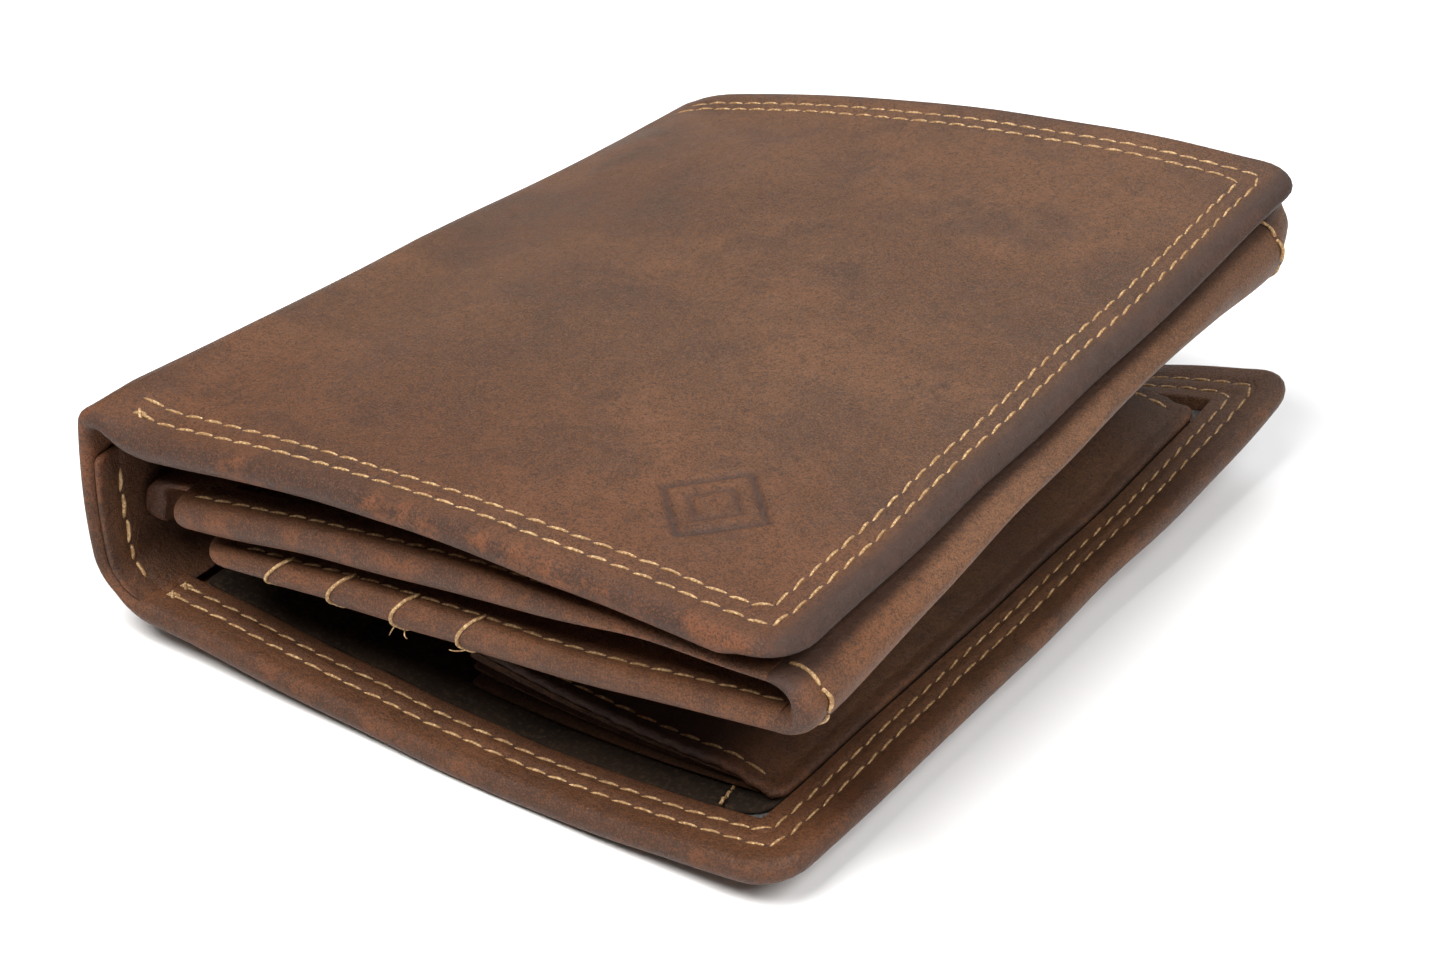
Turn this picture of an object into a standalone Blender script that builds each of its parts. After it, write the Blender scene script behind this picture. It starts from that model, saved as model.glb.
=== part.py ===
"""Trifold upright wallet in oiled leather, lying closed on its back cover.

The wallet is two covers joined by a spine, with a folded leaf between them: a page that is hinged on
the spine, and a wing that folds back under the page at the open edge. The back cover carries a coin
pocket with a snap flap. Every fold turns about an axis parallel to Y.

World frame: origin under the middle of the wallet, +X from the spine to the open edge,
+Y along the spine, +Z up. Helper measures are millimetres and are scaled to metres on the way in.
"""

import math

import bmesh
import bpy
from mathutils import Vector

MM = 0.001

# Driving dimensions, in millimetres. Slopes are in degrees, with the open edge higher.
COVER_WIDTH = 100.0
WALLET_LENGTH = 120.0
SPINE_HEIGHT = 29.5
COVER_SLOPE = 5.14
PAGE_SLOPE = 8.33
PANEL_SLOPE = 5.4

# Materials, edges and the spaces between layers. A cutter stands CUT_OVER beyond what it cuts.
LEATHER = 1.2
THIN_LEATHER = 0.9
POCKET_LEATHER = 0.45
LINING = 0.3
GAP = 0.3
COVER_THICKNESS = 3.0
TURNED_EDGE = 9.0
CORNER_RADIUS = 6.0
FRONT_OVERHANG = 0.4
CUT_OVER = 1.0
CLEARANCE = 0.2

# Rows of sewing on the covers, as distances from the edge, and the strips inside the spine.
OUTER_SEAM = 4.2
INNER_SEAM = 6.5
THREAD_RADIUS = 0.35
SEAM_START = 8.0
SEAM_CORNER_STEPS = 3
STRIP_INSET = 1.0
STRIP_SEAM_INSET = 1.0
HINGE_STRIP_LOW = 16.0
HINGE_STRIP_HIGH = 23.0
HINGE_STRIP_INSET = 7.0

# Page, measured along its own plane from its hinge on the spine.
PAGE_HINGE_X = 5.0
PAGE_HINGE_Z = 20.0
PAGE_START = 7.0
PAGE_END = 92.5
PAGE_TOP = 0.5
PAGE_THICKNESS = 3.2
PAGE_EDGE = 6.0
PAGE_LENGTH = 117.0
PAGE_RADIUS = 3.0
PAGE_POCKETS = 3
PAGE_POCKET_START = 7.0
PAGE_POCKET_SPACING = 14.0
PAGE_SEAM_NEAR = 4.0
PAGE_SEAM_FAR = 12.0

# Rolled leather between page and wing, with its angles in degrees from the page's plane.
FOLD_CENTRE = (92.8, -4.4)
FOLD_RADIUS = 4.9
FOLD_FROM = -40.0
FOLD_TO = 88.0
FOLD_THICKNESS = 1.3
FOLD_STEPS = 12

# Wing, measured back from the centre of the roll. It is thickest at its root, by the roll.
WING_REACH = 82.0
WING_TOP = 0.1
WING_TIP_THICKNESS = 2.1
WING_ROOT_THICKNESS = 4.4
WING_EDGE = 6.0
WING_RADIUS = 5.0
WING_POCKETS = 4
WING_POCKET_START = 10.0
WING_POCKET_SPACING = 9.5
WING_SEAM_NEAR = 8.0
WING_SEAM_FAR = 3.0

# Coin pocket on the back cover. It is hinged near the open edge and gapes towards the spine.
COIN_HINGE_X = 90.0
COIN_HINGE_Z = 5.0
COIN_PANEL_REACH = 44.0
COIN_PANEL_THICKNESS = 1.3
COIN_LENGTH = 96.0
COIN_MARGIN = 0.5
COIN_RADIUS = 3.0
GUSSET_INSET = 4.0

# Flap over the pocket's mouth, with its press fastener.
FLAP_HINGE_X = 40.6
FLAP_HINGE_Z = 4.2
FLAP_HEIGHT = 6.3
FLAP_REACH = 31.4
FLAP_LENGTH = 60.0
SNAP_REACH = 21.4
SNAP_HOLE_RADIUS = 1.3
SNAP_HOLE_REACH = 3.0

# Turned parts of the press fastener, as (radius, height) pairs.
STUD_PROFILE = [(0.0, 1.5), (1.4, 1.5), (1.7, 1.2), (1.5, 0.5), (3.2, 0.5), (3.2, 0.0), (0.0, 0.0)]
CAP_PROFILE = [
    (0.0, 1.1), (2.4, 1.0), (4.4, 0.7), (5.6, 0.3), (5.8, 0.0), (1.0, 0.0), (1.0, -1.5), (0.0, -1.5),
]
SOCKET_PROFILE = [(2.4, 0.0), (4.4, 0.0), (4.4, -0.6), (2.4, -0.6), (2.4, 0.0)]

# Shading angle of round pieces in degrees, and the merge distance of a turned piece in metres.
SMOOTH_BELOW = 35.0
WELD = 0.00001

# A cover plate starts beside the fold, and the spine's leather starts just above the fold's axis.
HALF_LENGTH = WALLET_LENGTH / 2
PIVOT_CLEAR = COVER_THICKNESS + GAP
PLATE_START = COVER_THICKNESS + GAP


def open_edge():
    """X of the outermost point of the page fold, measured from the spine's outer face."""
    slope = math.radians(PAGE_SLOPE)
    along, across = FOLD_CENTRE
    return PAGE_HINGE_X + along * math.cos(slope) - across * math.sin(slope) + FOLD_RADIUS


def clear_scene():
    for item in list(bpy.data.objects):
        bpy.data.objects.remove(item, do_unlink=True)


def material(name, colour, roughness, metallic=0.0):
    made = bpy.data.materials.new(name)
    made.use_nodes = True
    surface = made.node_tree.nodes["Principled BSDF"]
    surface.inputs["Base Color"].default_value = (*colour, 1.0)
    surface.inputs["Roughness"].default_value = roughness
    surface.inputs["Metallic"].default_value = metallic
    return made


def make_materials():
    return {
        "cover": material("cover_leather", (0.19, 0.095, 0.048), 0.55),
        "inner": material("inner_leather", (0.16, 0.085, 0.047), 0.62),
        "page": material("page_leather", (0.22, 0.115, 0.058), 0.58),
        "suede": material("suede_panel", (0.12, 0.088, 0.062), 0.85),
        "lining": material("pocket_lining", (0.10, 0.098, 0.092), 0.90),
        "thread": material("sewing_thread", (0.62, 0.42, 0.20), 0.60),
        "metal": material("snap_metal", (0.42, 0.36, 0.28), 0.35, 1.0),
    }


def axis_frame(name, parent, x, z, slope=0.0):
    """Empty on a fold axis. A positive slope tips its +X side up."""
    frame = bpy.data.objects.new(name, None)
    bpy.context.collection.objects.link(frame)
    frame.parent = parent
    frame.location = (x * MM, 0.0, z * MM)
    frame.rotation_euler = (0.0, -math.radians(slope), 0.0)
    return frame


def link(name, mesh, parent, finish):
    made = bpy.data.objects.new(name, mesh)
    bpy.context.collection.objects.link(made)
    made.parent = parent
    if finish is not None:
        mesh.materials.append(finish)
    return made


def arc(centre_x, centre_y, radius, first, last, steps):
    """Points of an arc in a plane, from angle first to angle last, in degrees."""
    points = []
    for step in range(steps + 1):
        angle = math.radians(first + (last - first) * step / steps)
        points.append((centre_x + radius * math.cos(angle), centre_y + radius * math.sin(angle)))
    return points


def outline(near, far, half, near_radius, far_radius, steps=6):
    """Counter-clockwise rectangle from near to far along X, with rounded corners at each end."""
    points = []
    corners = (
        (far, half, far_radius, 1, 1, 0),
        (near, half, near_radius, -1, 1, 90),
        (near, -half, near_radius, -1, -1, 180),
        (far, -half, far_radius, 1, -1, 270),
    )
    for x, y, radius, side_x, side_y, first in corners:
        if radius <= 0:
            points.append((x, y))
            continue
        centre_x = x - side_x * radius
        centre_y = y - side_y * radius
        points += arc(centre_x, centre_y, radius, first, first + 90, steps)
    return points


def prism(name, points, low, high, parent, finish):
    """Solid between two heights over a plan outline. A height is a number or a function of x."""
    def height(value, x):
        return value(x) if callable(value) else value

    form = bmesh.new()
    floor = [form.verts.new((x * MM, y * MM, height(low, x) * MM)) for x, y in points]
    roof = [form.verts.new((x * MM, y * MM, height(high, x) * MM)) for x, y in points]
    form.faces.new(reversed(floor))
    form.faces.new(roof)
    count = len(points)
    for index in range(count):
        after = (index + 1) % count
        form.faces.new((floor[index], floor[after], roof[after], roof[index]))
    mesh = bpy.data.meshes.new(name)
    form.to_mesh(mesh)
    form.free()
    return link(name, mesh, parent, finish)


def side_prism(name, points, half_from, half_to, parent, finish):
    """Solid with an outline in the XZ plane, counter-clockwise seen from -Y, run along Y."""
    form = bmesh.new()
    front = [form.verts.new((x * MM, half_from * MM, z * MM)) for x, z in points]
    back = [form.verts.new((x * MM, half_to * MM, z * MM)) for x, z in points]
    form.faces.new(front)
    form.faces.new(reversed(back))
    count = len(points)
    for index in range(count):
        after = (index + 1) % count
        form.faces.new((front[after], front[index], back[index], back[after]))
    mesh = bpy.data.meshes.new(name)
    form.to_mesh(mesh)
    form.free()
    return link(name, mesh, parent, finish)


def cut(target, cutter):
    cutter.hide_render = True
    cutter.display_type = "WIRE"
    modifier = target.modifiers.new("cut_" + cutter.name, "BOOLEAN")
    modifier.operation = "DIFFERENCE"
    modifier.solver = "EXACT"
    modifier.object = cutter


def turned(name, profile, parent, finish, steps=28):
    """Turned piece about a vertical axis: profile is (radius, height) pairs, top to bottom."""
    form = bmesh.new()
    verts = [form.verts.new((radius * MM, 0.0, height * MM)) for radius, height in profile]
    edges = [form.edges.new((verts[k], verts[k + 1])) for k in range(len(verts) - 1)]
    bmesh.ops.spin(
        form, geom=verts + edges, cent=(0, 0, 0), axis=(0, 0, 1),
        angle=2 * math.pi, steps=steps, use_merge=True,
    )
    bmesh.ops.remove_doubles(form, verts=form.verts, dist=WELD)
    bmesh.ops.recalc_face_normals(form, faces=form.faces)
    mesh = bpy.data.meshes.new(name)
    form.to_mesh(mesh)
    form.free()
    made = link(name, mesh, parent, finish)
    mesh.shade_smooth()
    mesh.set_sharp_from_angle(angle=math.radians(SMOOTH_BELOW))
    return made


def thread_line(name, points, parent, finish):
    """Sewing thread: a round bead along points given as (x, y, z)."""
    curve = bpy.data.curves.new(name, "CURVE")
    curve.dimensions = "3D"
    curve.bevel_depth = THREAD_RADIUS * MM
    curve.bevel_resolution = 1
    curve.use_fill_caps = True
    line = curve.splines.new("POLY")
    line.points.add(len(points) - 1)
    for point, place in zip(line.points, points):
        point.co = (*(Vector(place) * MM), 1.0)
    return link(name, curve, parent, finish)


def seam_path(inset, near, far, half, height):
    """U-shaped row round the front edge, the open edge and the rear edge."""
    edge = half - inset
    end = far - inset
    radius = max(CORNER_RADIUS - inset, 1.0)
    corner_front = arc(end - radius, -edge + radius, radius, 270, 360, SEAM_CORNER_STEPS)
    corner_rear = arc(end - radius, edge - radius, radius, 0, 90, SEAM_CORNER_STEPS)
    plan = [(near, -edge)] + corner_front + corner_rear + [(near, edge)]
    return [(x, y, height) for x, y in plan]


def make_back_cover(root, finishes):
    """Outer leather turned in over three edges, pocket lining and the suede inner panel."""
    leather = prism(
        "back_cover_leather",
        outline(PLATE_START, COVER_WIDTH, HALF_LENGTH, 0, CORNER_RADIUS),
        0.0, COVER_THICKNESS, root, finishes["cover"],
    )
    inner_half = HALF_LENGTH - TURNED_EDGE
    inner_end = COVER_WIDTH - TURNED_EDGE
    recess = prism(
        "back_cover_recess",
        outline(0.0, inner_end, inner_half, 0, 0),
        LEATHER, COVER_THICKNESS + CUT_OVER, root, None,
    )
    cut(leather, recess)
    panel_outline = outline(PLATE_START + GAP, inner_end - GAP, inner_half - GAP, 0, 0)
    lining_low = LEATHER + GAP / 2
    prism("back_pocket_lining", panel_outline, lining_low, lining_low + LINING, root, finishes["lining"])
    panel_low = lining_low + LINING + GAP / 2
    prism("back_inner_panel", panel_outline, panel_low, panel_low + THIN_LEATHER, root, finishes["suede"])
    height = COVER_THICKNESS + GAP + THREAD_RADIUS
    for name, inset in (("back_cover_outer_seam", OUTER_SEAM), ("back_cover_inner_seam", INNER_SEAM)):
        path = seam_path(inset, SEAM_START, COVER_WIDTH, HALF_LENGTH, height)
        thread_line(name, path, root, finishes["thread"])


def make_spine(frame, finishes):
    """Outer spine leather, the inner strip sewn to it, and the strip that carries the page."""
    top = SPINE_HEIGHT - COVER_THICKNESS - GAP - CLEARANCE
    half = HALF_LENGTH
    side_prism(
        "spine_leather",
        [(0.0, PIVOT_CLEAR), (LEATHER, PIVOT_CLEAR), (LEATHER, top), (0.0, top)],
        -half, half, frame, finishes["cover"],
    )
    inner = LEATHER + GAP
    face = inner + THIN_LEATHER
    low = PIVOT_CLEAR + STRIP_INSET
    high = top - STRIP_INSET
    side_prism(
        "spine_inner_strip",
        [(inner, low), (face, low), (face, high), (inner, high)],
        -half + STRIP_INSET, half - STRIP_INSET, frame, finishes["inner"],
    )
    near = face + GAP
    far = near + LEATHER
    hinge_half = PAGE_LENGTH / 2 - HINGE_STRIP_INSET
    side_prism(
        "page_hinge_strip",
        [(near, HINGE_STRIP_LOW), (far, HINGE_STRIP_LOW), (far, HINGE_STRIP_HIGH), (near, HINGE_STRIP_HIGH)],
        -hinge_half, hinge_half, frame, finishes["page"],
    )
    seam_x = near + THREAD_RADIUS
    for name, side in (("spine_front_seam", -1), ("spine_rear_seam", 1)):
        place = side * (half - OUTER_SEAM)
        path = [(seam_x, place, low + STRIP_SEAM_INSET), (seam_x, place, high - STRIP_SEAM_INSET)]
        thread_line(name, path, frame, finishes["thread"])


def make_front_cover(frame, finishes):
    """Outer leather turned in over three edges, with its pocket lining and inner panel underneath."""
    leather = prism(
        "front_cover_leather",
        outline(PLATE_START, COVER_WIDTH + FRONT_OVERHANG, HALF_LENGTH, 0, CORNER_RADIUS),
        -COVER_THICKNESS, 0.0, frame, finishes["cover"],
    )
    inner_half = HALF_LENGTH - TURNED_EDGE
    inner_end = COVER_WIDTH - TURNED_EDGE
    recess = prism(
        "front_cover_recess",
        outline(0.0, inner_end, inner_half, 0, 0),
        -COVER_THICKNESS - CUT_OVER, -LEATHER, frame, None,
    )
    cut(leather, recess)
    panel_outline = outline(PLATE_START + GAP, inner_end - GAP, inner_half - GAP, 0, 0)
    lining_top = -LEATHER - GAP / 2
    prism("front_pocket_lining", panel_outline, lining_top - LINING, lining_top, frame, finishes["lining"])
    panel_top = lining_top - LINING - GAP / 2
    prism("front_inner_panel", panel_outline, panel_top - THIN_LEATHER, panel_top, frame, finishes["inner"])
    height = GAP + THREAD_RADIUS
    for name, inset in (("front_cover_outer_seam", OUTER_SEAM), ("front_cover_inner_seam", INNER_SEAM)):
        path = seam_path(inset, SEAM_START, COVER_WIDTH, HALF_LENGTH, height)
        thread_line(name, path, frame, finishes["thread"])


def make_page(frame, finishes):
    """Upper leaf: a leather plate with raised turned edges, three card pockets and the rolled fold."""
    half = PAGE_LENGTH / 2
    bottom = PAGE_TOP - PAGE_THICKNESS
    leather = prism(
        "page_leather",
        outline(PAGE_START, PAGE_END, half, PAGE_RADIUS, 0),
        bottom, PAGE_TOP, frame, finishes["page"],
    )
    pocket_half = half - PAGE_EDGE
    recess = prism(
        "page_recess",
        outline(PAGE_START + PAGE_EDGE, PAGE_END + CUT_OVER, pocket_half, 0, 0),
        bottom + LEATHER, PAGE_TOP + CUT_OVER, frame, None,
    )
    cut(leather, recess)
    for index in range(PAGE_POCKETS):
        low = bottom + LEATHER + CLEARANCE + index * (POCKET_LEATHER + CLEARANCE)
        start = PAGE_START + PAGE_EDGE + PAGE_POCKET_START + index * PAGE_POCKET_SPACING
        plan = outline(start, PAGE_END - GAP, pocket_half - GAP, 0, 0)
        name = f"page_card_pocket_{index + 1}"
        prism(name, plan, low, low + POCKET_LEATHER, frame, finishes["page"])
    height = PAGE_TOP + GAP + THREAD_RADIUS
    row = half - PAGE_EDGE / 2
    for name, side in (("page_front_seam", -1), ("page_rear_seam", 1)):
        path = [
            (PAGE_START + PAGE_SEAM_NEAR, side * row, height),
            (PAGE_END - PAGE_SEAM_FAR, side * row, height),
        ]
        thread_line(name, path, frame, finishes["thread"])
    centre_x, centre_z = FOLD_CENTRE
    outer = arc(centre_x, centre_z, FOLD_RADIUS, FOLD_FROM, FOLD_TO, FOLD_STEPS)
    inner = arc(centre_x, centre_z, FOLD_RADIUS - FOLD_THICKNESS, FOLD_TO, FOLD_FROM, FOLD_STEPS)
    fold = side_prism("page_fold", outer + inner, -half, half, frame, finishes["page"])
    fold.data.shade_smooth()
    fold.data.set_sharp_from_angle(angle=math.radians(SMOOTH_BELOW))


def make_wing(frame, finishes):
    """Lower leaf: a leather plate that thickens towards the fold, with four card pockets beneath."""
    half = PAGE_LENGTH / 2
    near = -WING_REACH
    far = -GAP

    def underside(x):
        share = (x - near) / (far - near)
        return WING_TOP - WING_TIP_THICKNESS - share * (WING_ROOT_THICKNESS - WING_TIP_THICKNESS)

    leather = prism(
        "wing_leather", outline(near, far, half, WING_RADIUS, 0),
        underside, WING_TOP, frame, finishes["page"],
    )
    pocket_half = half - WING_EDGE
    recess = prism(
        "wing_recess",
        outline(near + WING_EDGE, far + CUT_OVER, pocket_half, 0, 0),
        WING_TOP - WING_ROOT_THICKNESS - CUT_OVER, WING_TOP - LEATHER, frame, None,
    )
    cut(leather, recess)
    for index in range(WING_POCKETS):
        high = WING_TOP - LEATHER - CLEARANCE - index * (POCKET_LEATHER + CLEARANCE)
        start = near + WING_POCKET_START + index * WING_POCKET_SPACING
        plan = outline(start, far - GAP, pocket_half - GAP, 0, 0)
        name = f"wing_card_pocket_{index + 1}"
        prism(name, plan, high - POCKET_LEATHER, high, frame, finishes["page"])
    height = WING_TOP + GAP + THREAD_RADIUS
    row = half - WING_EDGE / 2
    for name, side in (("wing_front_seam", -1), ("wing_rear_seam", 1)):
        path = [(near + WING_SEAM_NEAR, side * row, height), (far - WING_SEAM_FAR, side * row, height)]
        thread_line(name, path, frame, finishes["thread"])


def make_coin_pocket(root, frame, finishes):
    """Front panel of the coin pocket, its two folded gussets and the stud of the press fastener."""
    half = COIN_LENGTH / 2
    thickness = COIN_PANEL_THICKNESS / 2
    prism(
        "coin_pocket_panel",
        outline(-COIN_PANEL_REACH, 0.0, half, COIN_RADIUS, 0),
        -thickness, thickness, frame, finishes["inner"],
    )
    rise = math.tan(math.radians(PANEL_SLOPE))
    low = COVER_THICKNESS + CLEARANCE
    near = COIN_HINGE_X - COIN_PANEL_REACH + GUSSET_INSET
    far = COIN_HINGE_X - GUSSET_INSET
    clearance = thickness + 2 * CLEARANCE

    def roof(x):
        return COIN_HINGE_Z + (COIN_HINGE_X - x) * rise - clearance

    profile = [(near, low), (far, low), (far, roof(far)), (near, roof(near))]
    for name, side in (("coin_gusset_front", -1), ("coin_gusset_rear", 1)):
        edges = sorted((side * (half - COIN_MARGIN), side * (half - COIN_MARGIN - LEATHER)))
        side_prism(name, profile, edges[0], edges[1], root, finishes["inner"])
    stud = turned("snap_stud", STUD_PROFILE, frame, finishes["metal"])
    along = (FLAP_HINGE_X + SNAP_REACH - COIN_HINGE_X) / math.cos(math.radians(PANEL_SLOPE))
    stud.location = (along * MM, 0.0, (thickness + GAP / 2) * MM)


def make_coin_flap(frame, finishes):
    """Flap that closes the pocket mouth, with the cap and socket of the press fastener."""
    half = FLAP_LENGTH / 2
    flap_profile = [
        (-LEATHER / 2, 0.0),
        (LEATHER / 2, 0.0),
        (LEATHER / 2, FLAP_HEIGHT),
        (FLAP_REACH, FLAP_HEIGHT),
        (FLAP_REACH, FLAP_HEIGHT + LEATHER),
        (-LEATHER / 2, FLAP_HEIGHT + LEATHER),
    ]
    flap = side_prism("coin_flap", flap_profile, -half, half, frame, finishes["inner"])
    hole_profile = [
        (0.0, SNAP_HOLE_REACH),
        (SNAP_HOLE_RADIUS, SNAP_HOLE_REACH),
        (SNAP_HOLE_RADIUS, -SNAP_HOLE_REACH),
        (0.0, -SNAP_HOLE_REACH),
    ]
    hole = turned("snap_hole", hole_profile, frame, None)
    hole.location = (SNAP_REACH * MM, 0.0, FLAP_HEIGHT * MM)
    cut(flap, hole)
    cap = turned("snap_cap", CAP_PROFILE, frame, finishes["metal"])
    cap.location = (SNAP_REACH * MM, 0.0, (FLAP_HEIGHT + LEATHER + CLEARANCE) * MM)
    socket = turned("snap_socket", SOCKET_PROFILE, frame, finishes["metal"])
    socket.location = (SNAP_REACH * MM, 0.0, (FLAP_HEIGHT - CLEARANCE) * MM)


def main():
    clear_scene()
    finishes = make_materials()
    root = axis_frame("wallet_frame", None, -open_edge() / 2, 0.0)
    spine = axis_frame("spine_fold_axis", root, 0.0, 0.0)
    front = axis_frame("cover_open_axis", spine, 0.0, SPINE_HEIGHT, COVER_SLOPE)
    page = axis_frame("page_turn_axis", spine, PAGE_HINGE_X, PAGE_HINGE_Z, PAGE_SLOPE)
    wing = axis_frame("wing_unfold_axis", page, *FOLD_CENTRE)
    coin = axis_frame("coin_panel_axis", root, COIN_HINGE_X, COIN_HINGE_Z, -PANEL_SLOPE)
    flap = axis_frame("coin_flap_axis", root, FLAP_HINGE_X, FLAP_HINGE_Z)
    make_back_cover(root, finishes)
    make_spine(spine, finishes)
    make_front_cover(front, finishes)
    make_page(page, finishes)
    make_wing(wing, finishes)
    make_coin_pocket(root, coin, finishes)
    make_coin_flap(flap, finishes)
    bpy.context.view_layer.update()


main()
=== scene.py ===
"""Looks of the trifold wallet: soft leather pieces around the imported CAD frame.

Shapes are worked out in millimetres in the wallet's own frame: x from the spine's outer face to the open
edge, y along the spine, z up. build() and sew() move them to the row frame in metres. Every leather piece is
a closed sheet with rounded edges, given as heights over a plan outline. One common warp gives the covers and
the leaves the bow and twist of a used wallet.
"""

import math
import random

import bmesh
import bpy
import numpy as np
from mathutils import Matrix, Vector


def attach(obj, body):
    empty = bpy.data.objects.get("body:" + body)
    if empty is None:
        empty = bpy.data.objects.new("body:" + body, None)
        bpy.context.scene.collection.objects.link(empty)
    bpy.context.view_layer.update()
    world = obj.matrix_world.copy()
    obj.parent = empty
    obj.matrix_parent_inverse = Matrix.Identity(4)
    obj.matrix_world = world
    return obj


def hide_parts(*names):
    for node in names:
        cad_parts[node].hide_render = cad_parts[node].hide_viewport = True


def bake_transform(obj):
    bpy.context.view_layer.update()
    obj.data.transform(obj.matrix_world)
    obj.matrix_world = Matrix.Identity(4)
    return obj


MM = 0.001
ROW_X = 51.179  # the row frame's origin, measured from the spine's outer face

HALF = 60.0  # half the length of the covers
WIDTH = 100.0  # back cover, from the spine to the open edge
FRONT_WIDTH = WIDTH + 0.4
SPINE_TOP = 29.5
COVER_SLOPE = math.radians(5.14)
PAGE_SLOPE = math.radians(8.33)
PANEL_SLOPE = math.radians(5.4)
COVER_THICK = 3.0  # at the turned-in edge
HIDE = 1.25  # single leather
SPINE_THICK = 1.9
BORDER = 8.8  # width of the turned-in edge
OUTER_ROW = 4.2  # the two rows of stitches, in from the edge
INNER_ROW = 6.5
MID_SPINE = 14.75  # height at which the two halves of the outer leather meet
LOWER_BEND = 8.0  # outer radii at the spine's folds
UPPER_BEND = 4.0
LOWER_FROM = 26.0  # heights on the spine at which the back half's path and the front half's path start
UPPER_FROM = 8.0
PATH_END = 110.0
CORNER = 6.0  # corner radius of the covers

PAGE_AT = (5.0, 20.0)
PAGE_HALF = 58.5  # half the length of the two leaves and of the roll
PAGE_NEAR = 5.4
PAGE_FAR = 92.6
PAGE_BORDER = 5.8
LEAF_ROW = 3.0  # the leaves' stitches, in from their ends
LEAF_SEAM = PAGE_HALF - LEAF_ROW
FOLD_AT = (92.8, -4.4)
FOLD_RADIUS = 4.9
WRAP_INSET = 3.2  # thread wraps on the roll: in from the front end, and the rear one's y
REAR_WRAP = 49.6
WING_TIP = -84.0
WING_DROP = 1.7
WING_BORDER = 2.1
TIER_STARTS = (-71.9, -62.4, -52.9, -43.4)
TIER = 0.5  # thickness that each card pocket adds to the wing
COIN_AT = (90.0, 5.0)
COIN_HALF = 48.0
COIN_ROW = 2.2
FLAP_HALF = 30.0
FLAP_ROW = 2.4

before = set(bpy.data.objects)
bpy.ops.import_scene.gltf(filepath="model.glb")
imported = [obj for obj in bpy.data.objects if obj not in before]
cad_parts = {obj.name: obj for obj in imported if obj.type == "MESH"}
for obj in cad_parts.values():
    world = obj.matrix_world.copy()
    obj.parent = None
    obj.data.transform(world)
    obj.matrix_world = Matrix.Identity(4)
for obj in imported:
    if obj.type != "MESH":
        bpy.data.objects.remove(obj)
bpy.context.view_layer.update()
rng = random.Random(11)


# ---- small maths


def smooth(t):
    t = np.clip(t, 0.0, 1.0)
    return t * t * (3 - 2 * t)


def ramp(value, start, width):
    """0 up to start, then smoothly up to 1 over width."""
    return smooth((value - start) / width)


def gauss(d, width):
    return np.exp(-((d / width) ** 2))


WAVES = [
    (rng.uniform(0, 2 * math.pi), rng.uniform(0.6, 1.6), rng.uniform(0, 2 * math.pi))
    for _ in range(9)
]


def undulate(x, y, size, shift=0.0):
    """Smooth uneven surface between about -1 and 1, with bumps about size millimetres across."""
    total = np.zeros_like(np.asarray(x, float))
    for angle, rate, phase in WAVES:
        k = 2 * math.pi * rate / (2.2 * size)
        total = total + np.sin(k * (x * math.cos(angle) + y * math.sin(angle)) + phase + shift * rate)
    return total / (len(WAVES) / 2)


def ladder(*stops):
    """Grid lines: ladder(a, step, b, step, c) goes from a to c with those steps."""
    out = [stops[0]]
    for k in range(0, len(stops) - 2, 2):
        a, step, b = stops[k], stops[k + 1], stops[k + 2]
        count = max(1, round((b - a) / step))
        out += [a + (b - a) * i / count for i in range(1, count + 1)]
    return np.array(out)


def merged(*groups, closest=0.12):
    """Several sets of grid lines in one, without lines that nearly coincide."""
    values = np.unique(np.round(np.concatenate(groups), 3))
    keep = [values[0]]
    for v in values[1:]:
        if v - keep[-1] > closest:
            keep.append(v)
    return np.array(keep)


def flat(z):
    """Height function of a level face."""
    return lambda x, y, d: z + 0 * x


def along_row(surface, d):
    """A surface's height as a function of x and y alone, on a row of stitches d in from the edge."""
    return lambda x, y: surface(x, y, np.full_like(x, d))


def height_at(surface, x, y):
    return float(surface(np.array([x]), np.array([y]))[0])


# ---- the common warp


def lift_lower(x, y):
    """How far the back cover rises: at the spine, along the open edge and at its rear corner."""
    s = np.clip(x / WIDTH, -0.05, 1.05)
    t = y / HALF
    left = 3.4 * np.clip(1 - s / 0.6, 0, 1.1) ** 1.6
    edge = 5.2 + 1.1 * t + 1.1 * t**2 + 2.4 * t**3 + 1.0 * t**4 + 1.2 * gauss(t - 0.25, 0.3)
    hump = 2.6 * ramp(t, 0.1, 0.9) * gauss(s - 0.82, 0.17)
    return left + edge * np.clip((s - 0.6) / 0.4, 0, 1.1) ** 1.8 + hump


def lift_upper(x, y):
    """The front cover's crown, its drooping front corner and its raised shoulder along the spine."""
    s = np.clip(x / WIDTH, -0.02, 1.02)
    t = y / HALF
    spine = -1.6 - 1.6 * t + 0.5 * t**2
    edge = 0.2 + 3.5 * t
    camber = (2.6 + 1.0 * t) * 4 * s * (1 - s)
    droop = 0.8 * ramp(s, 0.55, 0.3) * np.clip(-t, 0, 1)
    far = 2.4 * np.clip(t, 0, 1) - 0.6 * ramp(t, 0.7, 0.3)
    near = 1.0 * np.clip(-t, 0, 1) ** 2
    shoulder = (0.8 - 0.7 * t - far + near) * (1 - ramp(x, -1.0, 11.0))
    corner = 1.8 * ramp(-t, 0.84, 0.16) * (1 - ramp(x, 5, 35)) * ramp(x, -1, 4)
    return spine * (1 - s) + edge * s + camber - droop + shoulder - corner


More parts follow.
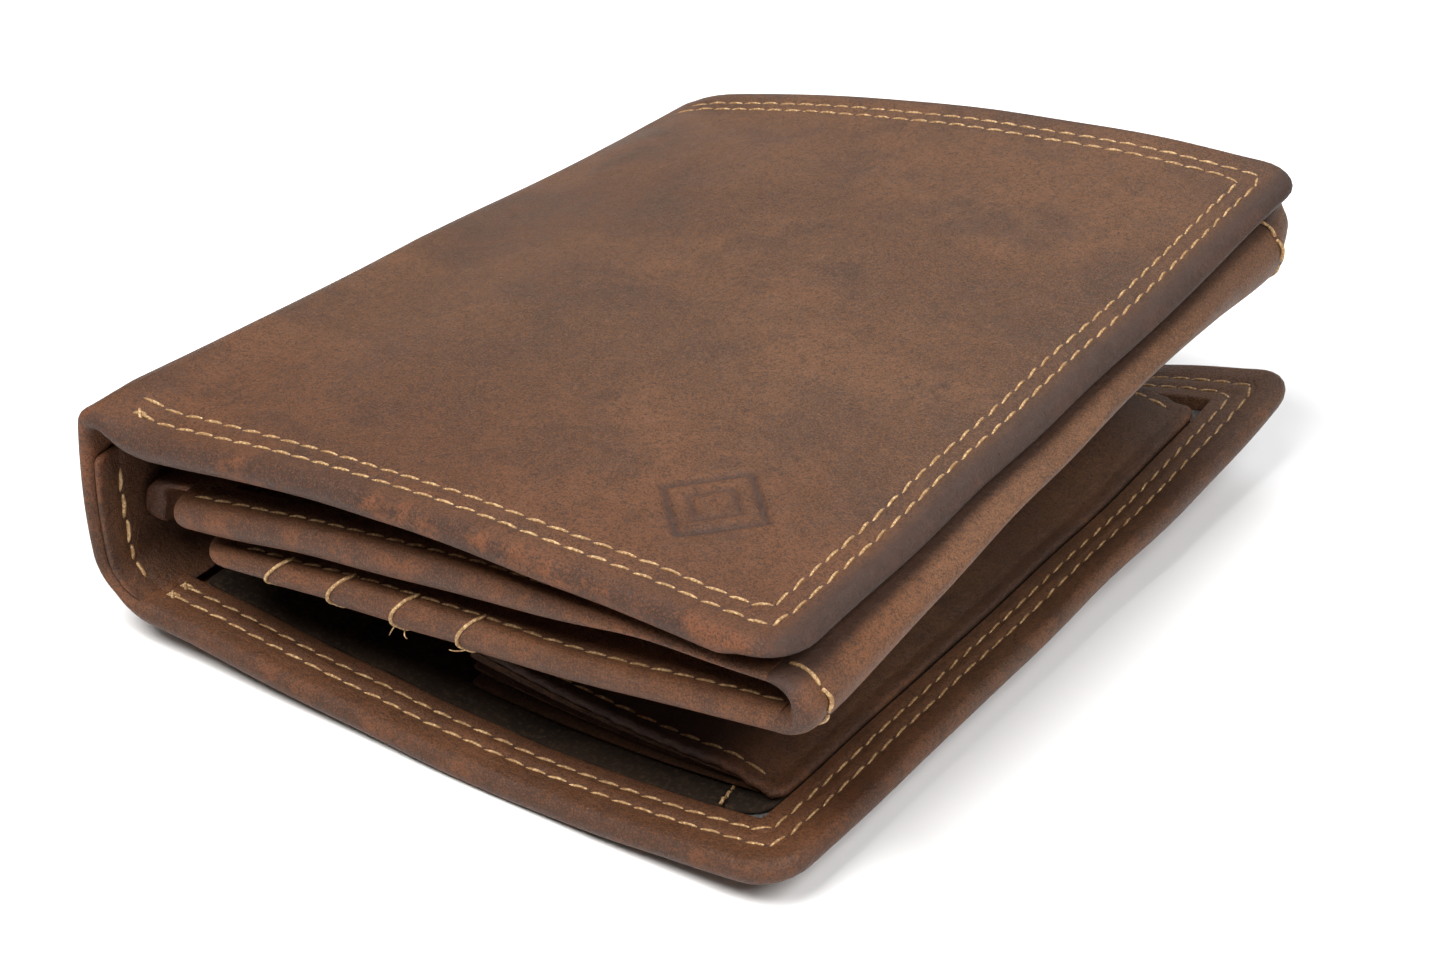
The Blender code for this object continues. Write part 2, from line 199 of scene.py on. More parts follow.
def warp(p, mode):
    """Moves points of the wallet's frame. Mode low follows the back cover, mode mid both covers."""
    x, y, z = p[:, 0], p[:, 1], p[:, 2]
    t = y / HALF
    across = x / WIDTH
    top = SPINE_TOP + np.clip(x, 0, 103) * math.tan(COVER_SLOPE)
    share = np.zeros_like(z)  # 0 inside the back cover, 1 inside the front cover
    if mode == "mid":
        share = np.clip((z - COVER_THICK) / (top - 2 * COVER_THICK), 0, 1)
    out = p.copy()
    sag = 1.3 * 4 * share * (1 - share) * np.clip(1 - across, 0, 1) ** 1.2
    out[:, 2] = z + (1 - share) * lift_lower(x, y) + share * lift_upper(x, y) - sag

    # The leaves are pressed up against the front cover at mid-length, and along the open edge.
    squeeze = 5.2 * ramp(t, -1.12, 0.9) * (1 - ramp(t, 0.2, 0.75)) * np.clip(across, 0, 1) ** 2
    fade = np.clip((share - 0.6) / 0.40, 0, 1)
    out[:, 2] += squeeze * ramp(share, 0.35, 0.25) * (1 - 0.5 * (fade + smooth(fade)))
    raised = 1.2 * ramp(x, 89, 6) * ramp(share, 0.3, 0.3) * (1 - ramp(share, 0.965, 0.035))
    out[:, 2] += raised * ramp(t, -1.0, 0.7)

    # Near the spine's rear end they settle towards the back cover.
    settle = 3.4 * ramp(t, 0.15, 0.7) * ramp(x, 0.5, 5) * (1 - ramp(x, 8, 45))
    out[:, 2] -= settle * smooth(share / 0.3) * (1 - ramp(share, 0.80, 0.16))

    # The spine bulges outwards, and everything but the back cover stands back at the rear of the open edge.
    belly = np.sin(math.pi * np.clip((z - 2.5) / 31, 0, 1)) ** 0.8 * (1 - smooth(x / 12))
    rear = np.clip((t + 1) / 2, 0, 1) ** 3 * np.clip(across, 0, 1.05)
    outer = ramp(share, 0.86, 0.14)
    back = 5.0 - 1.8 * ramp(t, 0.55, 0.3) + 1.9 * ramp(t, 0.84, 0.16)
    out[:, 0] = x - 1.9 * belly - rear * (back * smooth(share / 0.5) * (1 - outer) + 2.3 * outer)

    # Edges aren't quite straight.
    out[:, 0] += 0.22 * undulate(y, z, 16, 13.0) * ramp(x, 60, 35)
    out[:, 1] += 0.22 * undulate(x, z, 16, 14.0) * ramp(np.abs(y), 40, 15)
    return out


def to_row(p):
    out = p.copy()
    out[:, 0] -= ROW_X
    return out * MM


# ---- local frames


def tilted(p, x, z, slope):
    c, s = math.cos(slope), math.sin(slope)
    out = p.copy()
    out[:, 0] = x + p[:, 0] * c - p[:, 2] * s
    out[:, 2] = z + p[:, 0] * s + p[:, 2] * c
    return out


def flat_frame(p):
    return p


def cover_frame(p):
    return tilted(p, 0.0, SPINE_TOP, COVER_SLOPE)


def page_frame(p):
    return tilted(p, *PAGE_AT, PAGE_SLOPE)


def wing_frame(p):
    """The wing starts at the roll and runs back towards the spine, sagging a little."""
    out = p.copy()
    s = (p[:, 0] - WING_TIP) / -WING_TIP
    out[:, 2] -= 0.9 * np.sin(math.pi * np.clip(s, 0, 1)) + 0.7 * (1 - s) ** 2
    out[:, 0] += FOLD_AT[0]
    out[:, 2] += FOLD_AT[1]
    return page_frame(out)


def coin_frame(p):
    return tilted(p, *COIN_AT, -PANEL_SLOPE)


class Track:
    """Maps (u, y, w) onto a path in the XZ plane: u along it, w to the side of its left normal."""

    def __init__(self, points, start_u=0.0, side=1.0):
        self.p = np.array(points, float)
        step = np.diff(self.p, axis=0)
        length = np.hypot(step[:, 0], step[:, 1])
        self.u = start_u + np.concatenate([[0], np.cumsum(length)])
        tangent = np.gradient(self.p, self.u, axis=0)
        tangent /= np.hypot(tangent[:, 0], tangent[:, 1])[:, None]
        self.n = np.stack([-tangent[:, 1], tangent[:, 0]], 1) * side
        self.t = tangent

    def __call__(self, p):
        inside = np.clip(p[:, 0], self.u[0], self.u[-1])
        beyond = p[:, 0] - inside

        def at(table, k):
            return np.interp(inside, self.u, table[:, k])

        x = at(self.p, 0) + beyond * at(self.t, 0) + at(self.n, 0) * p[:, 2]
        z = at(self.p, 1) + beyond * at(self.t, 1) + at(self.n, 1) * p[:, 2]
        return np.stack([x, p[:, 1], z], 1)


def bend_points(centre, radius, first, last, steps=60):
    angles = np.radians(np.linspace(first, last, steps))
    return [(centre[0] + radius * math.cos(a), centre[1] + radius * math.sin(a)) for a in angles]


def bezier(a, b, c, d, steps=60):
    t = np.linspace(0, 1, steps)[:, None]
    a, b, c, d = (np.array(v, float) for v in (a, b, c, d))
    return (1 - t) ** 3 * a + 3 * t * (1 - t) ** 2 * b + 3 * t * t * (1 - t) * c + t**3 * d


# Each half of the outer leather follows its own track, from the middle of the spine round a fold and along
# its cover. On the cover, u is the distance from the spine's outer face.
LOWER_PATH = (
    [(0.0, z) for z in np.linspace(LOWER_FROM, LOWER_BEND + 0.1, 40)]
    + bend_points((LOWER_BEND, LOWER_BEND), LOWER_BEND, 180, 270)
    + [(x, 0.0) for x in np.linspace(LOWER_BEND + 0.1, PATH_END, 60)]
)
LOWER_START = LOWER_BEND - (LOWER_FROM - LOWER_BEND + LOWER_BEND * math.pi / 2)
BACK_MID_U = LOWER_START + LOWER_FROM - MID_SPINE
back_track = Track(LOWER_PATH, LOWER_START, side=1.0)

UPPER_CENTRE = (
    UPPER_BEND,
    SPINE_TOP + UPPER_BEND * math.tan(COVER_SLOPE) - UPPER_BEND / math.cos(COVER_SLOPE),
)
UPPER_END = UPPER_BEND * (1 - math.sin(COVER_SLOPE)) / math.cos(COVER_SLOPE)
UPPER_ARC = UPPER_BEND * (math.pi / 2 - COVER_SLOPE)
UPPER_START = UPPER_END - (UPPER_CENTRE[1] - UPPER_FROM + UPPER_ARC)
FRONT_MID_U = UPPER_START + MID_SPINE - UPPER_FROM
UPPER_PATH = (
    [(0.0, z) for z in np.linspace(UPPER_FROM, UPPER_CENTRE[1] - 0.1, 40)]
    + bend_points(UPPER_CENTRE, UPPER_BEND, 180, 90 + math.degrees(COVER_SLOPE))
    + [
        (u * math.cos(COVER_SLOPE), SPINE_TOP + u * math.sin(COVER_SLOPE))
        for u in np.linspace(UPPER_END + 0.1, PATH_END, 60)
    ]
)
front_track = Track(UPPER_PATH, UPPER_START, side=-1.0)


# ---- folds between bodies


def row(x, z):
    """A point of the wallet's frame in the row frame."""
    return ((x - ROW_X) * MM, 0.0, z * MM)


BACK_FOLD = ("back_cover", "spine", row(7.5, 4.0), row(0.25, 11.25))
FRONT_FOLD = ("spine", "front_cover", row(0.5, 24.0), row(6.5, 29.0))
HINGE_FOLD = ("spine", "page", row(4.2, 18.9), row(9.5, 20.1))
COIN_FOLD = ("back_cover", "coin_panel", row(91.5, 5.0), row(84.0, 5.0))
FLAP_FOLD = ("back_cover", "coin_flap", row(38.3, 3.2), row(40.8, 6.2))


def join_to(where, piece, nodes):
    """A piece rides on a body, or, given a fold, stays unparented with its transform baked in, and stands for
    CAD nodes.
    """
    if isinstance(where, str):
        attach(piece, where)
    else:
        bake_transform(piece)
    if nodes:
        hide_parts(*nodes)


# ---- sheets

EDGE_RINGS = (0, 0.04, 0.15, 0.35, 0.62, 0.95, 1.35, 1.8)
COVER_RINGS = (*EDGE_RINGS, 2.4, 3.0, 3.5, 3.85, 4.2, 4.55, 4.9, 5.4, 6.0)
LEAF_RINGS = (*EDGE_RINGS, 2.3, 2.65, 3.0, 3.35, 3.7, 4.3, 5.0)
ROLL_RINGS = (*EDGE_RINGS, 2.4, 2.8, 3.2, 3.6, 4.2, 5.0)
THIN_RINGS = (0, 0.03, 0.1, 0.22, 0.45, 0.9, 1.6, 2.4, 3.2)
COIN_RINGS = (0, 0.04, 0.14, 0.35, 0.65, 1.0, 1.4, 1.8, 2.2, 2.6, 3.2)
FLAP_RINGS = (0, 0.04, 0.14, 0.35, 0.6, 1.0, 1.5, 2.0, 2.4, 2.8, 3.6, 5.0, 7.0, 9.0)
GUSSET_RINGS = (0, 0.04, 0.12, 0.3, 0.6)
ARC_STEPS = 7
FAR_AWAY = 1e4
SHARP_EDGE = math.radians(40)


def inset(x, y, x0, x1, y0, y1, near_radius, far_radius):
    """Distance in from the outline of a rectangle with rounded corners."""
    cx, cy = (x0 + x1) / 2, (y0 + y1) / 2
    radius = np.where(x < cx, near_radius, far_radius)
    qx = np.abs(x - cx) - (x1 - x0) / 2 + radius
    qy = np.abs(y - cy) - (y1 - y0) / 2 + radius
    outside = np.hypot(np.maximum(qx, 0), np.maximum(qy, 0))
    return radius - outside - np.minimum(np.maximum(qx, qy), 0)


def plan_loop(d, plan, radii, xs, ys, near, far):
    """One closed ring of plan points, d in from the outline and near or far in from its two ends."""
    x0, x1, y0, y1 = plan

    def corner(sx, sy, first):
        radius = radii[1] if sx > 0 else radii[0]
        hold_y = max(radius, d)
        hold_x = max(radius, far if sx > 0 else near)
        r = max(radius - d, 0.0)
        cx = (x1 - hold_x) if sx > 0 else (x0 + hold_x)
        cy = (y1 - hold_y) if sy > 0 else (y0 + hold_y)
        turns = [math.radians(first + 90 * k / ARC_STEPS) for k in range(ARC_STEPS + 1)]
        return [(cx + r * math.cos(a), cy + r * math.sin(a)) for a in turns]

    points = [(x, y0 + d) for x in xs] + corner(1, -1, 270)
    points += [(x1 - far, y) for y in ys] + corner(1, 1, 0)
    points += [(x, y1 - d) for x in xs[::-1]] + corner(-1, 1, 90)
    points += [(x0 + near, y) for y in ys[::-1]] + corner(-1, -1, 180)
    return points


def sheet(plan, radii, top, bottom, xs, ys, rings, edge, open_near=False, open_far=False):
    """Closed sheet over a plan outline, rounded along its edges: points, faces, distance in from the edge.

    top and bottom are heights as functions of x, y and that distance. An open end isn't rounded, because
    another piece goes on from it.
    """
    x0, x1, y0, y1 = plan
    near_radius, far_radius = radii
    depth = rings[-1]

    def inner_lines(lines, low, high):
        kept = merged(np.array([low]), lines[(lines > low) & (lines < high)], np.array([high]))
        kept[-1] = high
        return kept

    xs = inner_lines(xs, x0 + (0.0 if open_near else depth), x1 - (0.0 if open_far else depth))
    ys = inner_lines(ys, y0 + depth, y1 - depth)
    plan_points, loops = [], []
    for d in rings:
        near, far = (0.0 if open_near else d), (0.0 if open_far else d)
        ring = plan_loop(d, plan, radii, xs, ys, near, far)
        loops.append(np.arange(len(plan_points), len(plan_points) + len(ring)))
        plan_points += ring
    base = len(plan_points)
    plan_points += [(x, y) for y in ys for x in xs]
    quads = []
    for outer, inner in zip(loops[:-1], loops[1:]):
        following = np.roll(np.arange(len(outer)), -1)
        quads.append(np.stack([outer, outer[following], inner[following], inner], 1))
    grid = base + np.arange(len(xs) * len(ys)).reshape(len(ys), len(xs))
    cells = np.stack([grid[:-1, :-1], grid[:-1, 1:], grid[1:, 1:], grid[1:, :-1]], -1)
    quads.append(cells.reshape(-1, 4))
    xy, index = np.unique(np.round(np.array(plan_points), 4), axis=0, return_inverse=True)
    caps, edges = [], set()
    for quad in index.reshape(-1)[np.concatenate(quads)].tolist():
        face = [v for k, v in enumerate(quad) if v != quad[k - 1]]
        if len(set(face)) < 3 or len(set(face)) != len(face):
            continue
        caps.append(face)
        edges.update(zip(face, face[1:] + face[:1]))
    d = inset(
        *xy.T, x0 - (FAR_AWAY if open_near else 0), x1 + (FAR_AWAY if open_far else 0), y0, y1,
        far_radius if open_near else near_radius, near_radius if open_far else far_radius,
    )
    d = np.maximum(d, 0.0)
    upper = top(xy[:, 0], xy[:, 1], d)
    lower = bottom(xy[:, 0], xy[:, 1], d)
    mid = (upper + lower) / 2
    round_off = rounding(d, edge)
    upper = mid + (upper - mid) * round_off
    lower = mid + (lower - mid) * round_off
    total = len(xy)
    points = np.concatenate([np.column_stack([xy, upper]), np.column_stack([xy, lower])])
    faces = caps + [[v + total for v in reversed(face)] for face in caps]
    faces += [[a, a + total, b + total, b] for a, b in sorted(edges) if (b, a) not in edges]
    return points, faces, np.concatenate([d, d])


def rounding(d, edge):
    """Share of the full thickness at a distance d in from an edge rounded over edge millimetres."""
    return np.sqrt(np.maximum(1 - (1 - np.clip(d / edge, 0, 1)) ** 2, 0))


def add_values(mesh, name, values):
    attribute = mesh.attributes.new(name, "FLOAT", "POINT")
    attribute.data.foreach_set("value", np.asarray(values, np.float32))


def add_object(name, data):
    made = bpy.data.objects.new(name, data)
    bpy.context.scene.collection.objects.link(made)
    return made


def new_mesh(name, world, faces, *materials):
    mesh = bpy.data.meshes.new(name)
    mesh.from_pydata(world.tolist(), [], faces)
    for material in materials:
        mesh.materials.append(MAT[material])
    return mesh


def add_piece(mesh, where, nodes, merge=()):
    """Cleans a mesh and makes it a piece of the wallet."""
    form = bmesh.new()
    form.from_mesh(mesh)
    if merge:
        bmesh.ops.remove_doubles(form, verts=form.verts, dist=merge[0])
        bmesh.ops.dissolve_degenerate(form, edges=form.edges, dist=merge[1])
    bmesh.ops.recalc_face_normals(form, faces=form.faces)
    form.to_mesh(mesh)
    form.free()
    mesh.shade_smooth()
    join_to(where, add_object(mesh.name, mesh), nodes)


def build(name, shape, kind, wear, where, *nodes, place=flat_frame, mode="mid", pressed=None):
    """Soft piece from a sheet in a local frame. wear: how far in from its edges it's rubbed, and how much."""
    points, faces, d = shape
    reach, amount = wear
    world = to_row(warp(place(points), mode))
    mesh = new_mesh(name, world, faces, kind)
    add_values(mesh, "rim", amount * (1 - smooth(d / reach)))
    # front: share of the painted shading towards the wallet's front end.
    add_values(mesh, "front", ramp(-world[:, 1] / MM, 12, 42))
    # pressed: how far each point is darkened, for pressed marks and for painted shade in crevices and under
    # the leaves.
    if pressed is not None:
        add_values(mesh, "pressed", pressed)
    add_piece(mesh, where, nodes, merge=(2e-6, 1e-7))
    mesh.set_sharp_from_angle(angle=SHARP_EDGE)


# ---- sewing

PITCH = 3.0  # from stitch to stitch
BEAD_SEGMENTS = 7
AROUND = 8  # points round a thread or a needle hole
THREAD_FILL = 0.88  # share of the pitch that a stitch covers
STITCH_SLANT = 7.0  # degrees
STITCH_RADIUS = 0.18
HOLE_RADIUS = 0.36


def resample(path, pitch):
    """Ends of the stitches along a plan path: rows of start x, start y, end x, end y."""
    path = np.array(path, float)
    run = np.concatenate([[0], np.cumsum(np.hypot(*np.diff(path, axis=0).T))])
    count = max(1, int(round(run[-1] / pitch)))
    ends = np.arange(count + 1) * (run[-1] / count)
    x, y = (np.interp(ends, run, path[:, i]) for i in (0, 1))
    return np.column_stack([x[:-1], y[:-1], x[1:], y[1:]])


def loft(centres, sides, ups, radii):
    """Closed round body along its centres. Each ring lies in the plane of its side and up vectors."""
    turns = 2 * math.pi * np.arange(AROUND)[:, None] / AROUND
    directions = sides[:, None] * np.cos(turns) + ups[:, None] * np.sin(turns)
    rings = centres[:, None] + radii[:, None, None] * directions
    points = [tuple(p) for p in rings.reshape(-1, 3)]
    last = len(points) - AROUND
    faces = []
    for start in range(0, last, AROUND):
        for j in range(AROUND):
            n = (j + 1) % AROUND
            faces.append((start + j, start + n, start + AROUND + n, start + AROUND + j))
    faces.append(tuple(reversed(range(AROUND))))
    faces.append(tuple(range(last, last + AROUND)))
    return points, faces


def stitches(path, surface, side=1.0, pitch=PITCH, radius=STITCH_RADIUS, slant=STITCH_SLANT):
    """Separate stitches along a plan path on a surface, each a small bowed bead that dips in at its ends."""
    beads = []
    t = np.linspace(0, 1, BEAD_SEGMENTS)
    upright = np.tile((0.0, 0.0, 1.0), (BEAD_SEGMENTS, 1))
    hump = np.sin(math.pi * np.clip(t, 0.02, 0.98)) ** 0.6
    for ax, ay, bx, by in resample(path, pitch):
        length = math.hypot(bx - ax, by - ay) * THREAD_FILL * rng.uniform(0.94, 1.05)
        turn = math.atan2(by - ay, bx - ax) + math.radians(slant + rng.uniform(-4, 4))
        tx, ty = math.cos(turn), math.sin(turn)
        x = (ax + bx) / 2 + (t - 0.5) * length * tx
        y = (ay + by) / 2 + (t - 0.5) * length * ty
        rise = hump * (radius * 1.25 + rng.uniform(-0.03, 0.05)) - radius * 0.75
        z = surface(x, y) + side * rise
        r = radius * (0.72 + 0.28 * hump) * rng.uniform(0.93, 1.08)
        across = np.tile((-ty, tx, 0.0), (BEAD_SEGMENTS, 1))
        beads.append(loft(np.column_stack([x, y, z]), across, upright, r))
    return join(beads)


def holes(path, surface, side=1.0, pitch=PITCH):
    """Needle holes between the stitches: flat lens shapes just proud of the leather, in painted shade for the
    holes' dark insides.
    """
    rows = resample(path, pitch)
    points, faces = [], []
    for x, y in np.concatenate([rows[:, :2], rows[-1:, 2:]]):
        z = height_at(surface, x, y)
        start = len(points)
        points += [(x, y, z + side * 0.07), (x, y, z - side * 0.2)]
        for j in range(AROUND):
            a = 2 * math.pi * j / AROUND
            across, along = HOLE_RADIUS * math.cos(a), HOLE_RADIUS * 0.8 * math.sin(a)
            points.append((x + across, y + along, z - side * 0.02))
        for j in range(AROUND):
            n = (j + 1) % AROUND
            faces.append((start, start + 2 + j, start + 2 + n))
            faces.append((start + 1, start + 2 + n, start + 2 + j))
    return points, faces


def tube(path, radius):
    """Round thread along points in space, with a number or a list of radii."""
    path = np.array(path, float)
    radii = np.broadcast_to(np.asarray(radius, float), (len(path),))
    tangent = np.gradient(path, axis=0)
    tangent /= np.linalg.norm(tangent, axis=1)[:, None]
    side = np.cross(tangent, (0.0, 0.0, 1.0))
    weak = np.linalg.norm(side, axis=1) < 0.2
    side[weak] = np.cross(tangent[weak], (0.0, 1.0, 0.0))
    side /= np.linalg.norm(side, axis=1)[:, None]
    for k in range(1, len(path)):
        if side[k] @ side[k - 1] < 0:
            side[k] = -side[k]
    return loft(path, side, np.cross(side, tangent), radii)


def join(parts):
    points, faces = [], []
    for p, f in parts:
        shift = len(points)
        points += p
        faces += [tuple(i + shift for i in face) for face in f]
    return points, faces


def sew(name, threads, dots, place, where, *nodes, mode="mid"):
    """One seam as an object: thread in slot 0 and the needle holes' painted shade in slot 1."""
    thread_faces = len(join(threads)[1])
    points, faces = join([*threads, *dots])
    world = to_row(warp(place(np.array(points, float)), mode))
    mesh = new_mesh(name, world, faces, "thread", "hole_shade")
    mesh.polygons.foreach_set("material_index", (np.arange(len(faces)) >= thread_faces).astype(int))
    add_piece(mesh, where, nodes)


def knot(x, y, z, side=1.0):
    """Small knot where a row starts: three short bowed threads across each other."""
    parts = []
    t = np.linspace(-1, 1, 11)
    for turn, reach, rise in ((0.5, 0.95, 0.55), (2.3, 0.85, 0.75), (4.0, 0.6, 0.35)):
        px = x + reach * t * math.cos(turn)
        py = y + reach * t * math.sin(turn)
        pz = z + side * (rise * (1 - t * t) - 0.12)
        parts.append(tube(np.column_stack([px, py, pz]), 0.21))
    return parts


def u_path(inset_by, start, far):
    """Plan path of a row that runs round a cover's three free edges."""
    y, x = HALF - inset_by, far - inset_by
    r = max(CORNER - inset_by, 0.8)
    path = [(start, -y)]
    for centre_y, first in ((-y + r, 270), (y - r, 0)):
        turns = np.radians(np.linspace(first, first + 90, 6))
        path += [(x - r + r * math.cos(a), centre_y + r * math.sin(a)) for a in turns]
    return [*path, (start, y)]


# ---- materials


class Nodes:
    """A material's node tree, with short calls for the nodes used here."""

    def __init__(self, name):
        self.material = bpy.data.materials.new(name)
        self.material.use_nodes = True
        self.tree = self.material.node_tree
        self.shader = self.tree.nodes["Principled BSDF"]
        self.place = self.add("TexCoord").outputs["Object"]

    def link(self, source, target):
        if isinstance(source, (int, float)):
            target.default_value = source
        elif isinstance(source, tuple):
            target.default_value = (*source, 1.0)
        else:
            self.tree.links.new(source, target)

    def add(self, kind, **inputs):
        node = self.tree.nodes.new(f"ShaderNode{kind}")
        for name, value in inputs.items():
            self.link(value, node.inputs[name.replace("_", " ")])
        return node

    def noise(self, scale, detail=4.0, rough=0.55, distort=0.0):
        inputs = {"Scale": scale, "Detail": detail, "Roughness": rough, "Distortion": distort}
        return self.add("TexNoise", Vector=self.place, **inputs).outputs["Fac"]

    def cells(self, scale):
        return self.add("TexVoronoi", Vector=self.place, Scale=scale).outputs["Distance"]

    def span(self, value, low, high, to_low=0.0, to_high=1.0):
        node = self.add("MapRange", Value=value, From_Min=low, From_Max=high, To_Min=to_low, To_Max=to_high)
        node.interpolation_type = "SMOOTHSTEP"
        return node.outputs["Result"]

    def mix(self, a, b, factor, mode="MIX"):
        node = self.add("Mix")
        node.data_type = "RGBA"
        node.blend_type = mode
        for k, value in ((0, factor), (6, a), (7, b)):
            self.link(value, node.inputs[k])
        return node.outputs[2]

    def times(self, a, b):
        node = self.add("Math")
        node.operation = "MULTIPLY"
        self.link(a, node.inputs[0])
        self.link(b, node.inputs[1])
        return node.outputs[0]

    def attribute(self, name):
        node = self.add("Attribute")
        node.attribute_name = name
        return node.outputs["Fac"]

    def bump(self, height, strength, distance, **below):
        node = self.add("Bump", Strength=strength, Distance=distance, Height=height, **below)
        return node.outputs["Normal"]

    def finish(self, colour, roughness, **inputs):
        inputs |= {"Base Color": colour, "Roughness": roughness}
        for name, value in inputs.items():
            self.link(value, self.shader.inputs[name.replace("_", " ")])
        return self.material


RUBBED = (0.044, 0.025, 0.022)
EMBER = (0.205, 0.080, 0.036)
# Colour for pressed marks, and for painted shade in crevices and under the leaves.
PRESSED_AND_PAINTED_SHADE = (0.036, 0.019, 0.014)
# Painted shading: the leather gets darker and redder towards the wallet's front end, and stays greyer at the
# far end.
FRONT_PAINTED_SHADE = (0.90, 0.77, 0.66)
LEATHERS = {
    "cover": ((0.096, 0.042, 0.019), (0.140, 0.062, 0.028), (0.046, 0.024, 0.014)),
    # inner: a darker copy of the cover leather, painted shade for the pieces inside the wallet.
    "inner": ((0.080, 0.036, 0.017), (0.116, 0.053, 0.025), (0.038, 0.021, 0.013)),
    "page": ((0.118, 0.053, 0.025), (0.170, 0.078, 0.037), (0.058, 0.030, 0.018)),
}


def leather(kind):
    """Oiled pull-up leather: cloudy tone, fine pores, short creases and burnished edges. It also takes
    painted shading that darkens and reddens it towards the front end, and the darkening that the pressed
    attribute asks for: pressed marks and painted shade.
    """
    base, warm, dark = LEATHERS[kind]
    n = Nodes(f"wallet_{kind}_leather")
    clouds = n.noise(30, 3.0, 0.5, 0.4)
    patches = n.noise(85, 5.0, 0.62, 0.3)
    blots = n.noise(260, 4.0, 0.65, 0.5)
    speckle = n.noise(1900, 4.0, 0.7)
    pores = n.noise(4600, 3.0, 0.6)
    tone = n.mix(base, warm, n.span(clouds, 0.40, 0.60, 0.0, 1.0))
    tone = n.mix(tone, dark, n.span(patches, 0.45, 0.70, 0.0, 0.70))
    tone = n.mix(tone, dark, n.span(blots, 0.50, 0.72, 0.0, 0.45))

    edge = n.attribute("rim")
    tone = n.mix(tone, RUBBED, n.times(edge, n.span(patches, 0.38, 0.54, 0.20, 0.95)))
    ember = n.times(edge, n.span(blots, 0.56, 0.44, 0.0, 0.9))
    tone = n.mix(tone, EMBER, n.times(ember, n.span(patches, 0.56, 0.42)))
    tone = n.mix(tone, RUBBED, n.times(edge, n.span(blots, 0.54, 0.66, 0.0, 0.8)))

    tone = n.mix(tone, dark, n.span(speckle, 0.50, 0.62, 0.0, 0.75))
    tone = n.mix(tone, warm, n.span(pores, 0.50, 0.62, 0.0, 0.80))
    tone = n.mix(tone, dark, n.span(pores, 0.50, 0.38, 0.0, 0.80))
    # Painted shading, darker and redder towards the front end.
    tone = n.mix(tone, FRONT_PAINTED_SHADE, n.attribute("front"), "MULTIPLY")
    # Pressed marks and a spot, and painted shade in crevices and under the leaves, as the pressed attribute
    # says.
    tone = n.mix(tone, PRESSED_AND_PAINTED_SHADE, n.times(n.attribute("pressed"), 0.8))

    normal = n.bump(n.noise(420, 6.0, 0.7, 1.2), 0.55, 0.0008)
    normal = n.bump(speckle, 0.50, 0.0003, Normal=normal)
    normal = n.bump(pores, 0.55, 0.00018, Normal=normal)
    rough = n.span(patches, 0.3, 0.7, 0.62, 0.48)
    return n.finish(tone, rough, Normal=normal, Specular_IOR_Level=0.30)


def suede():
    """Dark brown suede with a fine pale nap, kept darker still as painted shade for the inside of the back
    cover.
    """
    n = Nodes("wallet_suede")
    nap = n.noise(1500, 4.0, 0.7)
    drift = n.noise(60, 4.0, 0.6, 0.5)
    # Very dark brown: partly the suede's own colour, partly painted shade.
    tone = n.mix((0.027, 0.017, 0.011), (0.016, 0.011, 0.008), n.span(drift, 0.38, 0.66))
    tone = n.mix(tone, (0.062, 0.039, 0.024), n.span(nap, 0.48, 0.70, 0.0, 0.6))
    return n.finish(tone, 0.95, Normal=n.bump(nap, 0.7, 0.0002), Specular_IOR_Level=0.12)


def lining():
    """Grey woven pocket cloth."""
    n = Nodes("wallet_lining")
    weave = n.cells(2300)
    tone = n.mix((0.135, 0.130, 0.120), (0.075, 0.072, 0.068), n.span(weave, 0.1, 0.6))
    return n.finish(tone, 0.9, Normal=n.bump(weave, 0.4, 0.0001))


def thread():
    """Waxed thread, from straw to brown."""
    n = Nodes("wallet_thread")
    fibre = n.noise(2600, 3.0, 0.6, 0.8)
    tone = n.mix((0.24, 0.13, 0.052), (0.58, 0.39, 0.20), n.span(fibre, 0.43, 0.68))
    return n.finish(tone, 0.55, Normal=n.bump(fibre, 0.5, 0.0001), Specular_IOR_Level=0.4)


def painted_hole_shade():
    # Painted shade for the dark inside of a needle hole.
    n = Nodes("wallet_needle_hole_shade")
    return n.finish(n.mix((0.035, 0.019, 0.013), (0.06, 0.03, 0.02), n.noise(900)), 0.8)


def snap_metal():
    """Scuffed brass of the press fastener."""
    n = Nodes("wallet_snap_metal")
    scuff = n.noise(700, 5.0, 0.65, 0.6)
    tone = n.mix((0.34, 0.27, 0.19), (0.52, 0.44, 0.33), n.span(scuff, 0.35, 0.7))
    rough = n.span(scuff, 0.3, 0.7, 0.28, 0.46)
    return n.finish(tone, rough, Normal=n.bump(scuff, 0.08, 0.0001), Metallic=1.0)


MAT = {kind: leather(kind) for kind in LEATHERS}
MAT |= {"suede": suede(), "lining": lining(), "thread": thread()}
MAT |= {"hole_shade": painted_hole_shade(), "metal": snap_metal()}


# ---- outer leather

GROOVE_WIDTH = 0.42  # of the groove that a row of stitches pulls into the leather
MARK_AT = (77.5, -40.5)  # pressed diamond on the front cover
MARK_SIZE = 7.0
MARK_DEPTH = 0.42
SPOT_AT = (86.2, -7.3)  # small dark spot near the open edge
SPOT_SIZE = 0.75


def cover_thickness(u, d):
    """Turned-in edge on three sides, single hide inside it, thinner over the spine."""
    turned_in = 1 - ramp(d, BORDER - 0.2, 0.45)
    on_cover = HIDE + (COVER_THICK - HIDE) * turned_in
    return SPINE_THICK + (on_cover - SPINE_THICK) * ramp(u, 2.0, 5)


